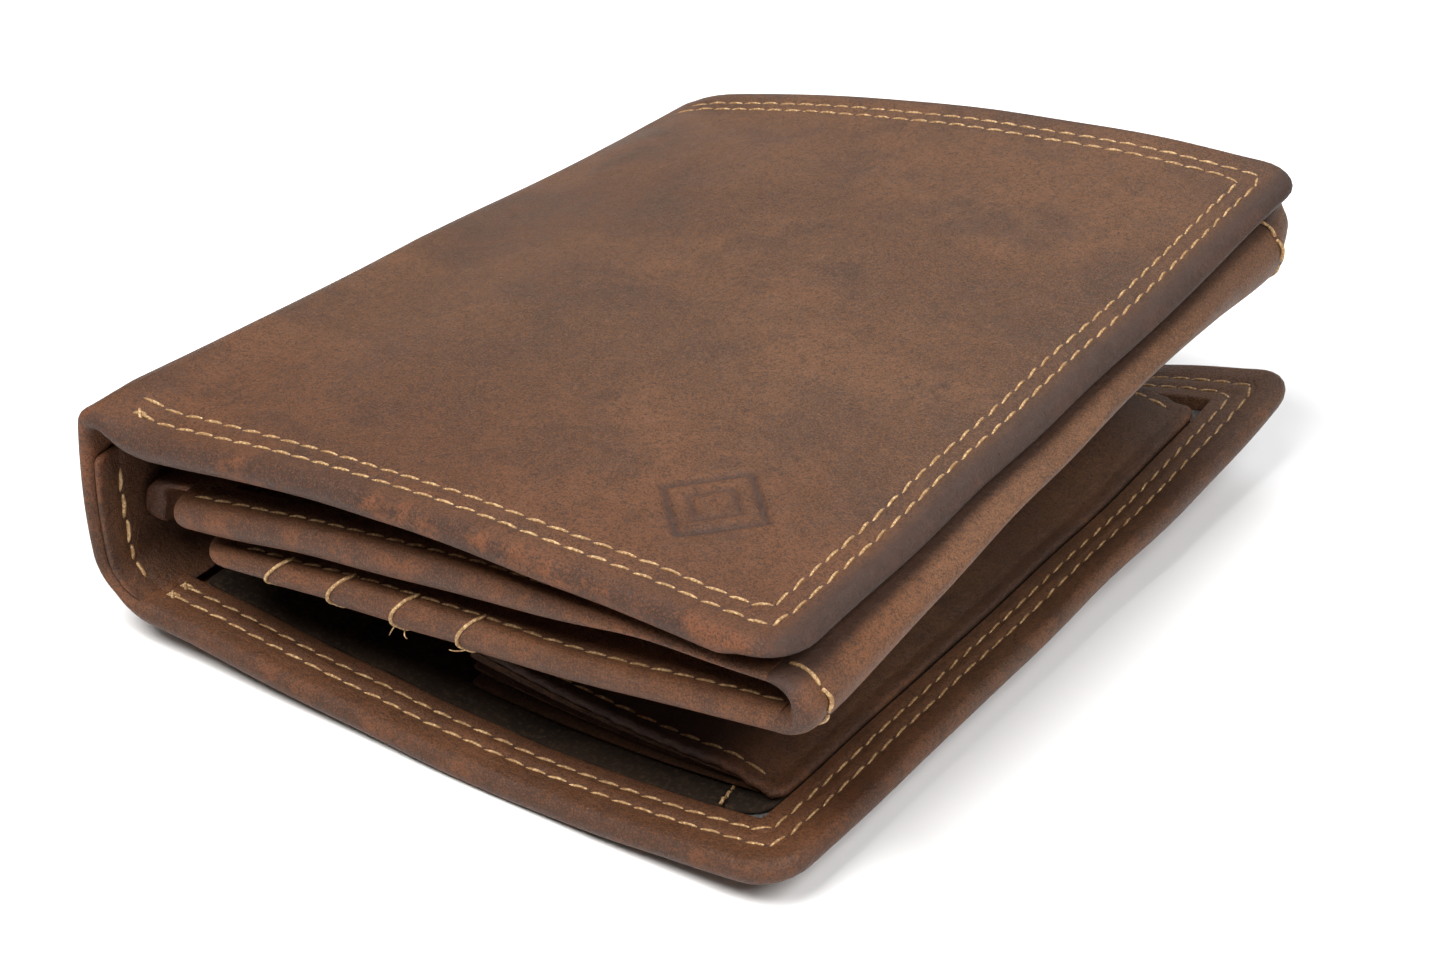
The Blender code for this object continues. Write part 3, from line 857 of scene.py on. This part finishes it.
def sewn_relief(u, d):
    """How far the surface swells between the rows and sinks along them."""
    grooves = 0.20 * (gauss(d - OUTER_ROW, GROOVE_WIDTH) + gauss(d - INNER_ROW, GROOVE_WIDTH))
    between_rows = 0.10 * gauss(d - (OUTER_ROW + INNER_ROW) / 2, 0.7)
    rim_swell = 0.22 * smooth(d / 1.2) * (1 - ramp(d, 2.6, 1.5))
    return ramp(u, 3.5, 2.5) * (rim_swell + between_rows - grooves)


def back_outer(x, y, d):
    uneven = 0.12 * undulate(x, y, 14) ** 2 * ramp(x, 2, 8)
    return uneven + 0.5 * np.maximum(-sewn_relief(x, d), 0)


def back_inner(x, y, d):
    return cover_thickness(x, d) + sewn_relief(x, d) + 0.10 * undulate(x, y, 9, 1.0)


def emblem(x, y):
    """0 to 1 over a plain pressed diamond with a smaller one inside it."""
    spread = np.abs(x - MARK_AT[0]) + np.abs(y - MARK_AT[1])
    line = gauss(spread - MARK_SIZE, 0.62) + 0.8 * gauss(spread - MARK_SIZE * 0.5, 0.5)
    return np.minimum(line, 1.0)


def front_outer(x, y, d):
    uneven = 0.30 * undulate(x, y, 17, 2.0) * ramp(d, 5, 8) * ramp(x, -2, 9)
    return -(uneven + sewn_relief(x, d) - MARK_DEPTH * emblem(x, y))


def front_inner(x, y, d):
    """The front cover's inner side. Its leather gets thinner towards the open edge."""
    thinned = 1.35 * ramp(x, 90.5, 5)
    return cover_thickness(x, d) - thinned + np.minimum(sewn_relief(x, d), 0) + 0.06 * undulate(x, y, 9, 1.0)


def make_outer_leather():
    """The covers and the spine: one skin in two halves that meet on the spine."""
    xs = ladder(BACK_MID_U, 0.8, 10, 1.8, 90, 0.35, 94)
    ys = merged(ladder(-54, 0.3, -51, 1.6, 51, 0.3, 54), np.array([0.0]))
    shape = sheet(
        (BACK_MID_U, WIDTH, -HALF, HALF), (0.0, CORNER), back_inner, back_outer,
        xs, ys, COVER_RINGS, 1.5, open_near=True,
    )
    nodes = ("back_cover_leather", "spine_leather")
    build("outer_leather_back", shape, "cover", (2.6, 0.5), BACK_FOLD, *nodes, place=back_track)

    xs = ladder(FRONT_MID_U, 0.8, 8, 1.6, 68, 0.42, 87, 1.2, 91, 0.35, 94.4)
    ys = ladder(-54, 0.4, -31, 1.6, -9.4, 0.5, -5.2, 1.6, 51, 0.3, 54)
    shape = sheet(
        (FRONT_MID_U, FRONT_WIDTH, -HALF, HALF), (0.0, CORNER), front_inner, front_outer,
        xs, ys, COVER_RINGS, 1.5, open_near=True,
    )
    x, y, depth = shape[0].T
    outside = depth < 1.0
    pressed = emblem(x, y) * outside
    pressed += 0.9 * gauss(np.hypot(x - SPOT_AT[0], y - SPOT_AT[1]), SPOT_SIZE) * outside
    # Darker along the open edge: partly its burnished rim, partly painted shade for the crevice where the
    # cover overhangs the roll.
    pressed += 1.05 * ramp(x, 95.9, 3.2)
    build(
        "outer_leather_front", shape, "cover", (2.6, 1.0), FRONT_FOLD, "front_cover_leather",
        place=front_track, pressed=pressed,
    )


def make_cover_seams():
    for label, d, front_start in (("outer", OUTER_ROW, 5.2), ("inner", INNER_ROW, 4.6)):
        path = u_path(d, 7.6, WIDTH)
        inner, outer = along_row(back_inner, d), along_row(back_outer, d)
        threads = [stitches(path, inner), stitches(path, outer, -1.0, radius=0.22)]
        for x, y in (path[0], path[-1]):
            threads += knot(x + 0.4, y, height_at(inner, x, y))
        name, node = f"back_stitches_{label}", f"back_cover_{label}_seam"
        sew(name, threads, [holes(path, inner)], back_track, BACK_FOLD, node)

        path = u_path(d, front_start, FRONT_WIDTH)
        inner, outer = along_row(front_inner, d), along_row(front_outer, d)
        threads = [stitches(path, outer, -1.0), stitches(path, inner)]
        if label == "outer":
            x, y = path[0]
            threads += knot(x + 0.8, y, height_at(outer, x, y) + 0.25, -1.0)
        name, node = f"front_stitches_{label}", f"front_cover_{label}_seam"
        sew(name, threads, [holes(path, outer, -1.0)], front_track, FRONT_FOLD, node)


# ---- inside the covers

PANEL_NEAR = 8.2  # inner panels: distance from the spine, and in from the covers' edges
PANEL_IN = 9.3
CLOTH_IN = 9.25
STRIP_FROM = -19.8
STRIP_TO = 7.2


def make_lining(side, heights, place):
    plan = (PANEL_NEAR, WIDTH - CLOTH_IN, -HALF + CLOTH_IN, HALF - CLOTH_IN)
    upper, lower = (flat(z) for z in heights)
    xs, ys = ladder(8, 4, 92), ladder(-52, 5, 52)
    shape = sheet(plan, (0.5, 0.5), upper, lower, xs, ys, THIN_RINGS, 0.12)
    name, node = f"{side}_pocket_cloth", f"{side}_pocket_lining"
    build(name, shape, "lining", (1.0, 0.0), f"{side}_cover", node, place=place)


def make_inner_panels():
    plan = (PANEL_NEAR, WIDTH - PANEL_IN, -HALF + PANEL_IN, HALF - PANEL_IN)
    xs, ys = ladder(8, 1.6, 92), ladder(-52, 1.8, 52)

    def suede_top(x, y, d):
        return 2.42 + 0.32 * undulate(x, y, 13, 3.0) * smooth(d / 6) + 0.12 * gauss(d - 2.2, 1.0)

    def leather_low(x, y, d):
        return -2.5 - 0.12 * undulate(x, y, 13, 5.0) * smooth(d / 6)

    shape = sheet(plan, (1.0, 4.2), suede_top, flat(1.62), xs, ys, THIN_RINGS, 0.5)
    points, _, d = shape
    wave = 0.28 * undulate(points[:, 0], points[:, 1], 5, 4.0) * (1 - smooth(d / 2.0))
    points[:, 1] += wave * np.sign(-points[:, 1])
    build("back_suede_panel", shape, "suede", (1.6, 1.0), "back_cover", "back_inner_panel")
    make_lining("back", (1.55, 1.33), flat_frame)

    shape = sheet(plan, (1.0, 1.0), flat(-1.68), leather_low, xs, ys, THIN_RINGS, 0.45)
    name, node = "front_leather_panel", "front_inner_panel"
    build(name, shape, "inner", (1.6, 1.0), "front_cover", node, place=cover_frame)
    make_lining("front", (-1.36, -1.58), cover_frame)


def strip_top(x, y, d):
    return 2.75 + 0.12 * undulate(x, y, 6, 6.0) - 0.15 * gauss(np.abs(y) - (HALF - OUTER_ROW), 0.45)


def strip_low(x, y, d):
    on_leather = cover_thickness(x, np.full_like(x, 5.0)) + 0.05
    return np.minimum(on_leather, strip_top(x, y, d) - 0.15)


def hinge_low(x, y, d):
    """The page's strip is thicker at its ends, where it is sewn to the spine."""
    return -0.5 - 1.6 * ramp(np.abs(y), 44, 5) * (1 - ramp(x, 4.5, 3.5))


def make_spine_inside():
    shape = sheet(
        (STRIP_FROM, STRIP_TO, -HALF + 0.7, HALF - 0.7), (1.0, 1.0), strip_top, strip_low,
        ladder(-18, 0.9, 7), ladder(-57, 0.35, -53, 2.0, 53, 0.35, 57), THIN_RINGS, 0.55,
    )
    name, node = "spine_strip_leather", "spine_inner_strip"
    build(name, shape, "inner", (1.8, 1.0), BACK_FOLD, node, place=back_track)
    for label, sign in (("front", -1), ("rear", 1)):
        y = sign * (HALF - OUTER_ROW)
        path = [(STRIP_FROM + 2.6, y), (STRIP_TO - 5.0, y)]
        top = along_row(strip_top, OUTER_ROW)
        threads = [stitches(path, top, pitch=3.9, radius=0.27, slant=-8)]
        name, node = f"spine_stitches_{label}", f"spine_{label}_seam"
        sew(name, threads, [holes(path, top, pitch=3.9)], back_track, BACK_FOLD, node)

    hinge = Track(bezier((3.35, 11.5), (3.35, 17.0), (5.0, 19.3), (13.9, 20.3)))
    shape = sheet(
        (0.0, hinge.u[-1], -53.0, 53.0), (1.5, 0.5), flat(0.5), hinge_low,
        ladder(0, 0.6, 16), ladder(-51, 3, 51), THIN_RINGS, 0.5,
    )
    build("page_hinge_leather", shape, "page", (1.5, 1.0), HINGE_FOLD, "page_hinge_strip", place=hinge)


# ---- page, roll and wing

ROLL = Track(bend_points((0.0, 0.0), FOLD_RADIUS, 92, -92, 90), 0.0, side=-1.0)
ROLL_LENGTH = ROLL.u[-1]
RIM_EDGE = 1.9  # how far in the wing's ends are rounded


def page_top(x, y, d):
    """A raised, sewn border round the pockets, which lie lower."""
    swell = 0.14 * smooth(d / 1.2) * (1 - ramp(d, 4, 1.5))
    border = 0.5 + swell - 0.22 * gauss(d - LEAF_ROW, GROOVE_WIDTH) * ramp(x, PAGE_NEAR, 3)
    return border + (-1.45 - border) * ramp(d, PAGE_BORDER, 0.4) * ramp(x, 12.4, 0.5)


def page_low(x, y, d):
    thinned = 2.0 * ramp(x, 50, 30) * (1 - ramp(d, 4, 3))
    return -3.0 + thinned + 0.15 * undulate(x, y, 12, 7.0) - 0.1 * gauss(d - LEAF_ROW, GROOVE_WIDTH)


def pocket_crease(x, start):
    return 0.07 * gauss(x - start - 1.6, 0.3)


def make_pocket(leaf, k, start, end, gap, half, top, low, edge, place):
    """One card pocket on a leaf: a thin leather step from its crease at start to a gap before the roll."""
    xs, ys = ladder(start, 0.35, start + 3.5, 2.2, end), ladder(-52, 2.4, 52)
    plan = (start, end - gap, -half, half)
    shape = sheet(plan, (2.0, 0.0), top, low, xs, ys, THIN_RINGS, edge, open_far=True)
    name, node = f"{leaf}_pocket_leather_{k + 1}", f"{leaf}_card_pocket_{k + 1}"
    build(name, shape, "page", (0.9, 1.0), leaf, node, place=place)


def make_page_pocket(k):
    start, low = 20.0 + 14 * k, -1.40 + 0.62 * k

    def top(x, y, d):
        return low + 0.5 - pocket_crease(x, start) + 0.05 * undulate(x, y, 11, 8.0 + k) * smooth(d / 4)

    make_pocket("page", k, start, PAGE_FAR, 0.2, 52.3, top, flat(low), 0.28, page_frame)


def make_page():
    shape = sheet(
        (PAGE_NEAR, PAGE_FAR, -PAGE_HALF, PAGE_HALF), (3.0, 0.0), page_top, page_low,
        ladder(12, 0.3, 14, 1.8, 90), ladder(-53.2, 0.25, -52, 1.9, 52, 0.25, 53.2),
        LEAF_RINGS, 1.7, open_far=True,
    )
    build("page_leaf_leather", shape, "page", (1.6, 0.75), "page", "page_leather", place=page_frame)
    for k in range(3):
        make_page_pocket(k)
    top, low = along_row(page_top, LEAF_ROW), along_row(page_low, LEAF_ROW)
    for label, y in (("front", -LEAF_SEAM), ("rear", LEAF_SEAM)):
        path = [(8.2, y), (91.8, y)]
        threads = [stitches(path, top), stitches(path, low, -1.0)]
        name, node = f"page_stitches_{label}", f"page_{label}_seam"
        sew(name, threads, [holes(path, top)], page_frame, "page", node)


def plateau(y):
    """0 at the ends of the leaves, 1 over most of their length."""
    return 1 - np.exp(-np.clip(PAGE_HALF - np.abs(y), 0, None) / 7.0)


def roll_frame(p):
    """The roll's half circle. It is fuller below and outwards between its ends."""
    q = ROLL(p)
    full = plateau(q[:, 1])
    q[:, 2] *= 1 + 0.28 * full * ramp(-q[:, 2], -1.0, 3.0)
    q[:, 0] *= 0.96 + 0.16 * full
    q[:, 0] += FOLD_AT[0]
    q[:, 2] += FOLD_AT[1]
    return page_frame(q)


def roll_fold():
    """From the page's top face down. It is short, because the roll is pressed flat at mid-length."""
    ends = page_frame(np.array([[FOLD_AT[0], 0.0, 0.9], [FOLD_AT[0], 0.0, -2.9]]))
    return "page", "wing", *(row(x, z) for x, _, z in ends)


def roll_outside(x, y, d):
    """Surface of the roll: grooves under the two thread wraps, and a step down past the rear one."""
    groove = 0.18 * (gauss(y + PAGE_HALF - WRAP_INSET, 0.45) + gauss(y - REAR_WRAP, 0.45))
    between_leaves = ramp(x, 1, 3) * (1 - ramp(x, ROLL_LENGTH - 4, 3))
    step = 0.8 * ramp(y, REAR_WRAP + 0.9, 0.7) * between_leaves
    return 0.10 * undulate(x * 2, y, 15, 9.0) * smooth(x / 3) + groove + step


def roll_inside(x, y, d):
    thinned = 2.0 * (1 - ramp(d, 4, 3)) * (1 - smooth(x / 8))
    return 3.5 - thinned + (1.4 - WING_DROP) * smooth(x / ROLL_LENGTH)


def roll_wraps():
    """Thread over the roll at each wrap, in three dips."""
    parts = []
    for place in (WRAP_INSET - PAGE_HALF, REAR_WRAP):
        for first, last in ((0.8, 5.0), (5.6, 9.4), (10.2, 13.6)):
            u = np.linspace(first, last, 12)
            lift = 0.25 - 0.32 * np.sin(math.pi * np.linspace(0.04, 0.96, 12)) ** 0.5
            y = place + 0.25 * np.sin(np.linspace(0, math.pi, 12))
            parts.append(tube(np.column_stack([u, y, lift]), 0.24))
    return parts


def make_roll():
    shape = sheet(
        (0.0, ROLL_LENGTH, -PAGE_HALF, PAGE_HALF), (0.0, 0.0), roll_inside, roll_outside,
        ladder(0, 0.5, ROLL_LENGTH), ladder(-53, 1.5, 47.5, 0.3, 51.8, 0.6, 53),
        ROLL_RINGS, 1.8, open_near=True, open_far=True,
    )
    # Painted shade along the top of the roll, in the crevice under the front cover's edge.
    dark = 0.9 * (1 - ramp(shape[0][:, 0], 2.6, 1.8))
    fold = roll_fold()
    build("page_roll_leather", shape, "page", (1.8, 0.9), fold, "page_fold", place=roll_frame, pressed=dark)
    sew("roll_stitches", roll_wraps(), [], roll_frame, fold)


def tiers_before(x):
    """How many pocket tiers lie between the wing's tip and x."""
    return sum(ramp(x, start - 0.4, 0.9) for start in TIER_STARTS)


def wing_growth(x, y):
    """The wing gets thicker towards the roll, most of all between its ends."""
    s = np.clip((x - WING_TIP) / -WING_TIP, 0, 1)
    return 0.8 * s + 1.37 * plateau(y) * s**2


def wing_top(x, y, d):
    drop = WING_DROP * ramp(x, -64, 42)
    groove = 0.2 * gauss(d - LEAF_ROW, GROOVE_WIDTH) * ramp(x, WING_TIP + 3, 3)
    return 0.1 - drop + 0.1 * undulate(x, y, 12, 10.0) * (1 - ramp(x, -8, 8)) - groove


def wing_border_low(x, y):
    return -(WING_BORDER + wing_growth(x, y) + TIER * tiers_before(x))


def wing_low(x, y, d):
    """A border that follows the pockets' steps, round a lower area in which they lie."""
    border = wing_border_low(x, y)
    inside = -(1.2 + wing_growth(x, y))
    return border + (inside - border) * ramp(d, 6.0, 0.4) * ramp(x, WING_TIP + 6, 0.4)


def make_wing_pocket(k, start):
    def top(x, y, d):
        return -(1.24 + wing_growth(x, y) + TIER * k)

    def low(x, y, d):
        return -(1.66 + wing_growth(x, y) + TIER * k) + pocket_crease(x, start)

    make_pocket("wing", k, start, 0.0, 0.4, 52.1, top, low, 0.24, wing_frame)


def make_wing():
    tiers = [ladder(start - 1.2, 0.22, start + 1.4) for start in TIER_STARTS]
    shape = sheet(
        (WING_TIP, -0.1, -PAGE_HALF, PAGE_HALF), (5.0, 0.0), wing_top, wing_low,
        merged(ladder(-77.4, 0.3, -75.5, 1.6, -5), *tiers),
        ladder(-53.0, 0.25, -51.8, 1.9, 51.8, 0.25, 53.0), LEAF_RINGS, RIM_EDGE, open_far=True,
    )
    build("wing_leaf_leather", shape, "page", (1.6, 0.6), "wing", "wing_leather", place=wing_frame)
    for k, start in enumerate(TIER_STARTS):
        make_wing_pocket(k, start)
    top = along_row(wing_top, LEAF_ROW)
    for label, sign in (("front", -1), ("rear", 1)):
        path = [(WING_TIP + 6.5, sign * LEAF_SEAM), (-0.8, sign * LEAF_SEAM)]
        threads = [stitches(path, top)]
        threads += [wrap_thread(start + 0.9, sign) for start in TIER_STARTS]
        threads += frayed_ends(sign)
        name, node = f"wing_stitches_{label}", f"wing_{label}_seam"
        sew(name, threads, [holes(path, top)], wing_frame, "wing", node)


def wing_rim_point(x, share):
    """Point on the wing's end edge: share 0 on the top row, 1 on the same row underneath."""
    d = LEAF_ROW * np.abs(1 - 2 * share) ** 1.5
    y = np.full_like(d, LEAF_SEAM)
    upper = wing_top(x, y, np.full_like(d, PAGE_HALF))
    lower = wing_border_low(x, y)
    mid = (upper + lower) / 2
    off = rounding(d, RIM_EDGE)
    z = np.where(share < 0.5, mid + (upper - mid) * off, mid + (lower - mid) * off)
    return d, z


def wrap_thread(x, sign):
    """Thread that wraps the wing's end edge where a pocket tier starts."""
    share = np.linspace(0.0, 1.0, 25)
    along = x + 1.1 - 2.2 * smooth(share / 0.6) + 1.5 * ramp(share, 0.7, 0.3)
    d, z = wing_rim_point(along, share)
    swell = 0.10 + 0.14 * np.abs(np.sin(share * 2 * math.pi))
    lean = np.clip(1 - d / RIM_EDGE, 0, 1)
    y = sign * (PAGE_HALF - d + swell * lean)
    z = z + np.where(share < 0.5, 1, -1) * swell * (1 - lean)
    return tube(np.column_stack([along, y, z]), 0.23)


def frayed_ends(sign):
    """Short loose thread ends under the third and fourth wraps."""
    parts = []
    third, fourth = TIER_STARTS[2:]
    t = np.linspace(0, 1, 9)
    for start, reach, drop in ((third - 0.4, -0.9, 1.5), (third + 0.9, 0.5, 0.8), (fourth + 0.2, -2.2, 0.3)):
        z = wing_rim_point(np.array([start]), np.array([0.9]))[1][0]
        y = sign * (PAGE_HALF - 0.9 + 0.5 * np.sin(t * 2.2))
        path = np.column_stack([start + reach * t**1.3, y, z + 0.2 - drop * t])
        parts.append(tube(path, 0.10 * (1 - 0.5 * t)))
    return parts


# ---- coin pocket

GUSSET_RISE = 6.0  # height at which the gussets' folds are drawn, before they are fitted under the panel


def panel_height(x):
    """Height of the coin pocket's panel over the floor."""
    return COIN_AT[1] + (COIN_AT[0] - x) * math.tan(PANEL_SLOPE)


def tuck(x):
    """How far the coin panel dips under the turned edge where it is sewn in."""
    return 1.5 * ramp(x, -7.0, 7.5)


def panel_top(x, y, d):
    groove = 0.16 * gauss(d - COIN_ROW, 0.4)
    return 0.62 + 0.2 * undulate(x, y, 10, 11.0) * smooth(d / 5) - groove - tuck(x)


def panel_low(x, y, d):
    return -0.62 - tuck(x)


def make_coin_pocket():
    shape = sheet(
        (-44.0, 1.5, -COIN_HALF, COIN_HALF), (3.0, 1.5), panel_top, panel_low,
        ladder(-41, 1.5, -9, 0.7, -1), ladder(-45, 2.2, 45), COIN_RINGS, 0.65,
    )
    points, _, d = shape
    pull = 0.34 * np.abs(np.sin(math.pi * points[:, 0] / PITCH)) * (1 - smooth(d / 2.0))
    points[:, 1] -= np.sign(points[:, 1]) * pull * (np.abs(points[:, 1]) > 44)
    # Painted shade over the coin panel where it lies under the leaves, away from its sewn edge.
    shade = 0.9 * (1 - ramp(points[:, 0], -10, 5))
    build(
        "coin_panel_leather", shape, "inner", (1.4, 0.6), COIN_FOLD, "coin_pocket_panel",
        place=coin_frame, mode="low", pressed=shade,
    )
    side_y, mouth_x = COIN_HALF - COIN_ROW, -44.0 + COIN_ROW
    paths = [[(-41.0, y), (-2.0, y)] for y in (-side_y, side_y)] + [[(mouth_x, -42.0), (mouth_x, 42.0)]]
    top = along_row(panel_top, COIN_ROW)
    threads, dots = [stitches(path, top) for path in paths], [holes(path, top) for path in paths]
    sew("coin_panel_stitches", threads, dots, coin_frame, COIN_FOLD, mode="low")


def gusset_track(sign):
    """Folded side of the coin pocket: x along the pocket, u along the folds, w through the leather."""
    inward, outward = (40.5, 41.5, 41.5, 40.5), (47.4, 47.0, 47.5)
    rise = (0.0, 0.10, 0.32, 0.50, 0.70, 0.90, 1.0)
    corners = [((outward if k % 2 else inward)[k // 2], share) for k, share in enumerate(rise)]
    fine = []
    for a, b in zip(corners[:-1], corners[1:]):
        for t in np.linspace(0, 1, 14, endpoint=False):
            fine.append((a[0] + (b[0] - a[0]) * smooth(t), a[1] + (b[1] - a[1]) * t))
    track = Track([(y, z * GUSSET_RISE) for y, z in [*fine, corners[-1]]])

    def place(p):
        x, low = p[:, 0], 2.95
        height = np.maximum(panel_height(x) - 0.75 - low, 0.3)
        thickness = p[:, 2] * np.clip(height / 5.0, 0.2, 1.0)
        folded = track(np.column_stack([p[:, 1], x, thickness]))
        return np.column_stack([x, sign * folded[:, 0], low + folded[:, 2] / GUSSET_RISE * height])

    return place, track.u[-1]


def make_gussets():
    sin, cos = math.sin(PANEL_SLOPE), math.cos(PANEL_SLOPE)
    x, z = 66.0, panel_height(66.0) - 0.7
    fold = ("back_cover", "coin_panel", row(x - 3.0 * sin, z - 3.0 * cos), row(x, z))
    for label, sign in (("front", -1), ("rear", 1)):
        place, length = gusset_track(sign)
        shape = sheet(
            (47.5, 88.0, 0.0, length), (0.4, 0.4), flat(0.33), flat(-0.33),
            ladder(48, 1.6, 88), ladder(0, 0.45, length), GUSSET_RINGS, 0.3,
        )
        name, node = f"coin_gusset_leather_{label}", f"coin_gusset_{label}"
        build(name, shape, "inner", (1.0, 0.6), fold, node, place=place, mode="low")
    tacks = []
    for k in range(3):
        middle = np.array([85.4 - 0.5 * k, -50.2 + 1.7 * k, 3.05 - 0.35 * k])
        tacks.append(tube(middle + [(0, -0.7, -0.25), (-0.1, 0, 0.12), (-0.25, 0.7, -0.25)], 0.22))
    sew("coin_bar_tack", tacks, [], flat_frame, "back_cover", mode="low")


FLAP_PATH = np.concatenate([
    bezier((33.0, 3.25), (36.0, 3.25), (38.5, 3.1), (40.0, 5.0), 30)[:-1],
    bezier((40.0, 5.0), (40.7, 6.3), (40.3, 11.1), (45.5, 11.1), 40)[:-1],
    bezier((45.5, 11.1), (52.0, 11.1), (64.0, 11.1), (72.0, 11.1), 40),
])


def flap_top(x, y, d):
    return 0.55 + 0.08 * undulate(x, y, 9, 12.0) * smooth(d / 4) - 0.15 * gauss(d - FLAP_ROW, 0.4)


def flap_seam(length):
    """Plan path of the stitches round the flap's three free edges."""
    bend_x, y, r = length - 9.0, FLAP_HALF - FLAP_ROW, 6.6
    turns = np.radians(np.linspace(280, 350, 8))
    path = [(16.0, -y), (bend_x, -y)]
    path += [(bend_x + r * math.cos(a), -21.0 + r * math.sin(a)) for a in turns]
    path.append((length - FLAP_ROW, -20.0))
    return path + [(x, -y) for x, y in reversed(path)]


def make_coin_flap():
    track = Track(FLAP_PATH)
    length = track.u[-1]
    shape = sheet(
        (0.0, length, -FLAP_HALF, FLAP_HALF), (2.0, 9.0), flap_top, flat(-0.55),
        ladder(9, 0.7, 22, 1.6, length), ladder(-22, 1.8, 22), FLAP_RINGS, 0.55,
    )
    build("coin_flap_leather", shape, "inner", (1.4, 1.0), FLAP_FOLD, "coin_flap", place=track, mode="low")
    path, top = flap_seam(length), along_row(flap_top, FLAP_ROW)
    sew("coin_flap_stitches", [stitches(path, top)], [holes(path, top)], track, FLAP_FOLD, mode="low")
    for node in ("snap_cap", "snap_socket", "snap_stud"):
        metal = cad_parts[node]
        metal.data.materials.clear()
        metal.data.materials.append(MAT["metal"])


# ---- stage

CAMERA_AT = (0.20176, -0.28829, 0.22146)
CAMERA_TURN = (58.910, -0.133, 35.252)  # degrees
CAMERA_LENS = 81.5
SENSOR = 36.0
LIGHT_AIM = (0, 0, 0.02)
FLOOR_REACH = 3.0
FLOOR_TONE = (0.86, 0.86, 0.86)
WORLD_LIGHT = 0.11  # strength of the white surroundings, which the camera sees at full strength


def area_light(name, place, size, power, colour=(1.0, 1.0, 1.0)):
    data = bpy.data.lights.new(name, "AREA")
    data.shape = "RECTANGLE"
    data.size, data.size_y = size
    data.energy = power
    data.color = colour
    lamp = add_object(name, data)
    lamp.location = place
    lamp.rotation_mode = "QUATERNION"
    lamp.rotation_quaternion = (Vector(LIGHT_AIM) - Vector(place)).to_track_quat("-Z", "Y")
    return lamp


def make_floor():
    mesh = bpy.data.meshes.new("stage_floor")
    corners = [(x * FLOOR_REACH, y * FLOOR_REACH, 0) for x, y in ((-1, -1), (1, -1), (1, 1), (-1, 1))]
    mesh.from_pydata(corners, [], [(0, 1, 2, 3)])
    mesh.materials.append(Nodes("stage_paper").finish(FLOOR_TONE, 0.9, Specular_IOR_Level=0.1))
    return add_object("stage_floor", mesh)


def make_surroundings():
    world = bpy.data.worlds.new("stage_world")
    bpy.context.scene.world = world
    world.use_nodes = True
    nodes, links = world.node_tree.nodes, world.node_tree.links
    shade = nodes["Background"]
    shade.inputs["Color"].default_value = (1.0, 1.0, 1.0, 1.0)
    seen = nodes.new("ShaderNodeLightPath").outputs["Is Camera Ray"]
    strength = nodes.new("ShaderNodeMapRange")
    links.new(seen, strength.inputs["Value"])
    strength.inputs["To Min"].default_value = WORLD_LIGHT
    strength.inputs["To Max"].default_value = 1.0
    links.new(strength.outputs["Result"], shade.inputs["Strength"])


def make_camera():
    data = bpy.data.cameras.new("camera")
    data.lens = CAMERA_LENS
    data.sensor_width = SENSOR
    data.clip_start = 0.01
    camera = add_object("camera", data)
    camera.location = CAMERA_AT
    camera.rotation_euler = [math.radians(a) for a in CAMERA_TURN]
    bpy.context.scene.camera = camera


def make_stage():
    bpy.context.scene.view_settings.view_transform = "Standard"
    floor = make_floor()
    make_surroundings()
    lamps = [
        area_light("key_light", (-0.10, -0.50, 0.94), (0.6, 0.5), 15.0, (1.0, 0.985, 0.96)),
        area_light("side_light", (0.66, -0.20, 0.78), (0.5, 0.5), 8.5),
        area_light("back_light", (-0.35, 0.75, 0.85), (0.9, 0.7), 6.0, (0.95, 0.97, 1.0)),
    ]
    make_camera()


make_outer_leather()
make_cover_seams()
make_inner_panels()
make_spine_inside()
make_page()
make_roll()
make_wing()
make_coin_pocket()
make_gussets()
make_coin_flap()
make_stage()
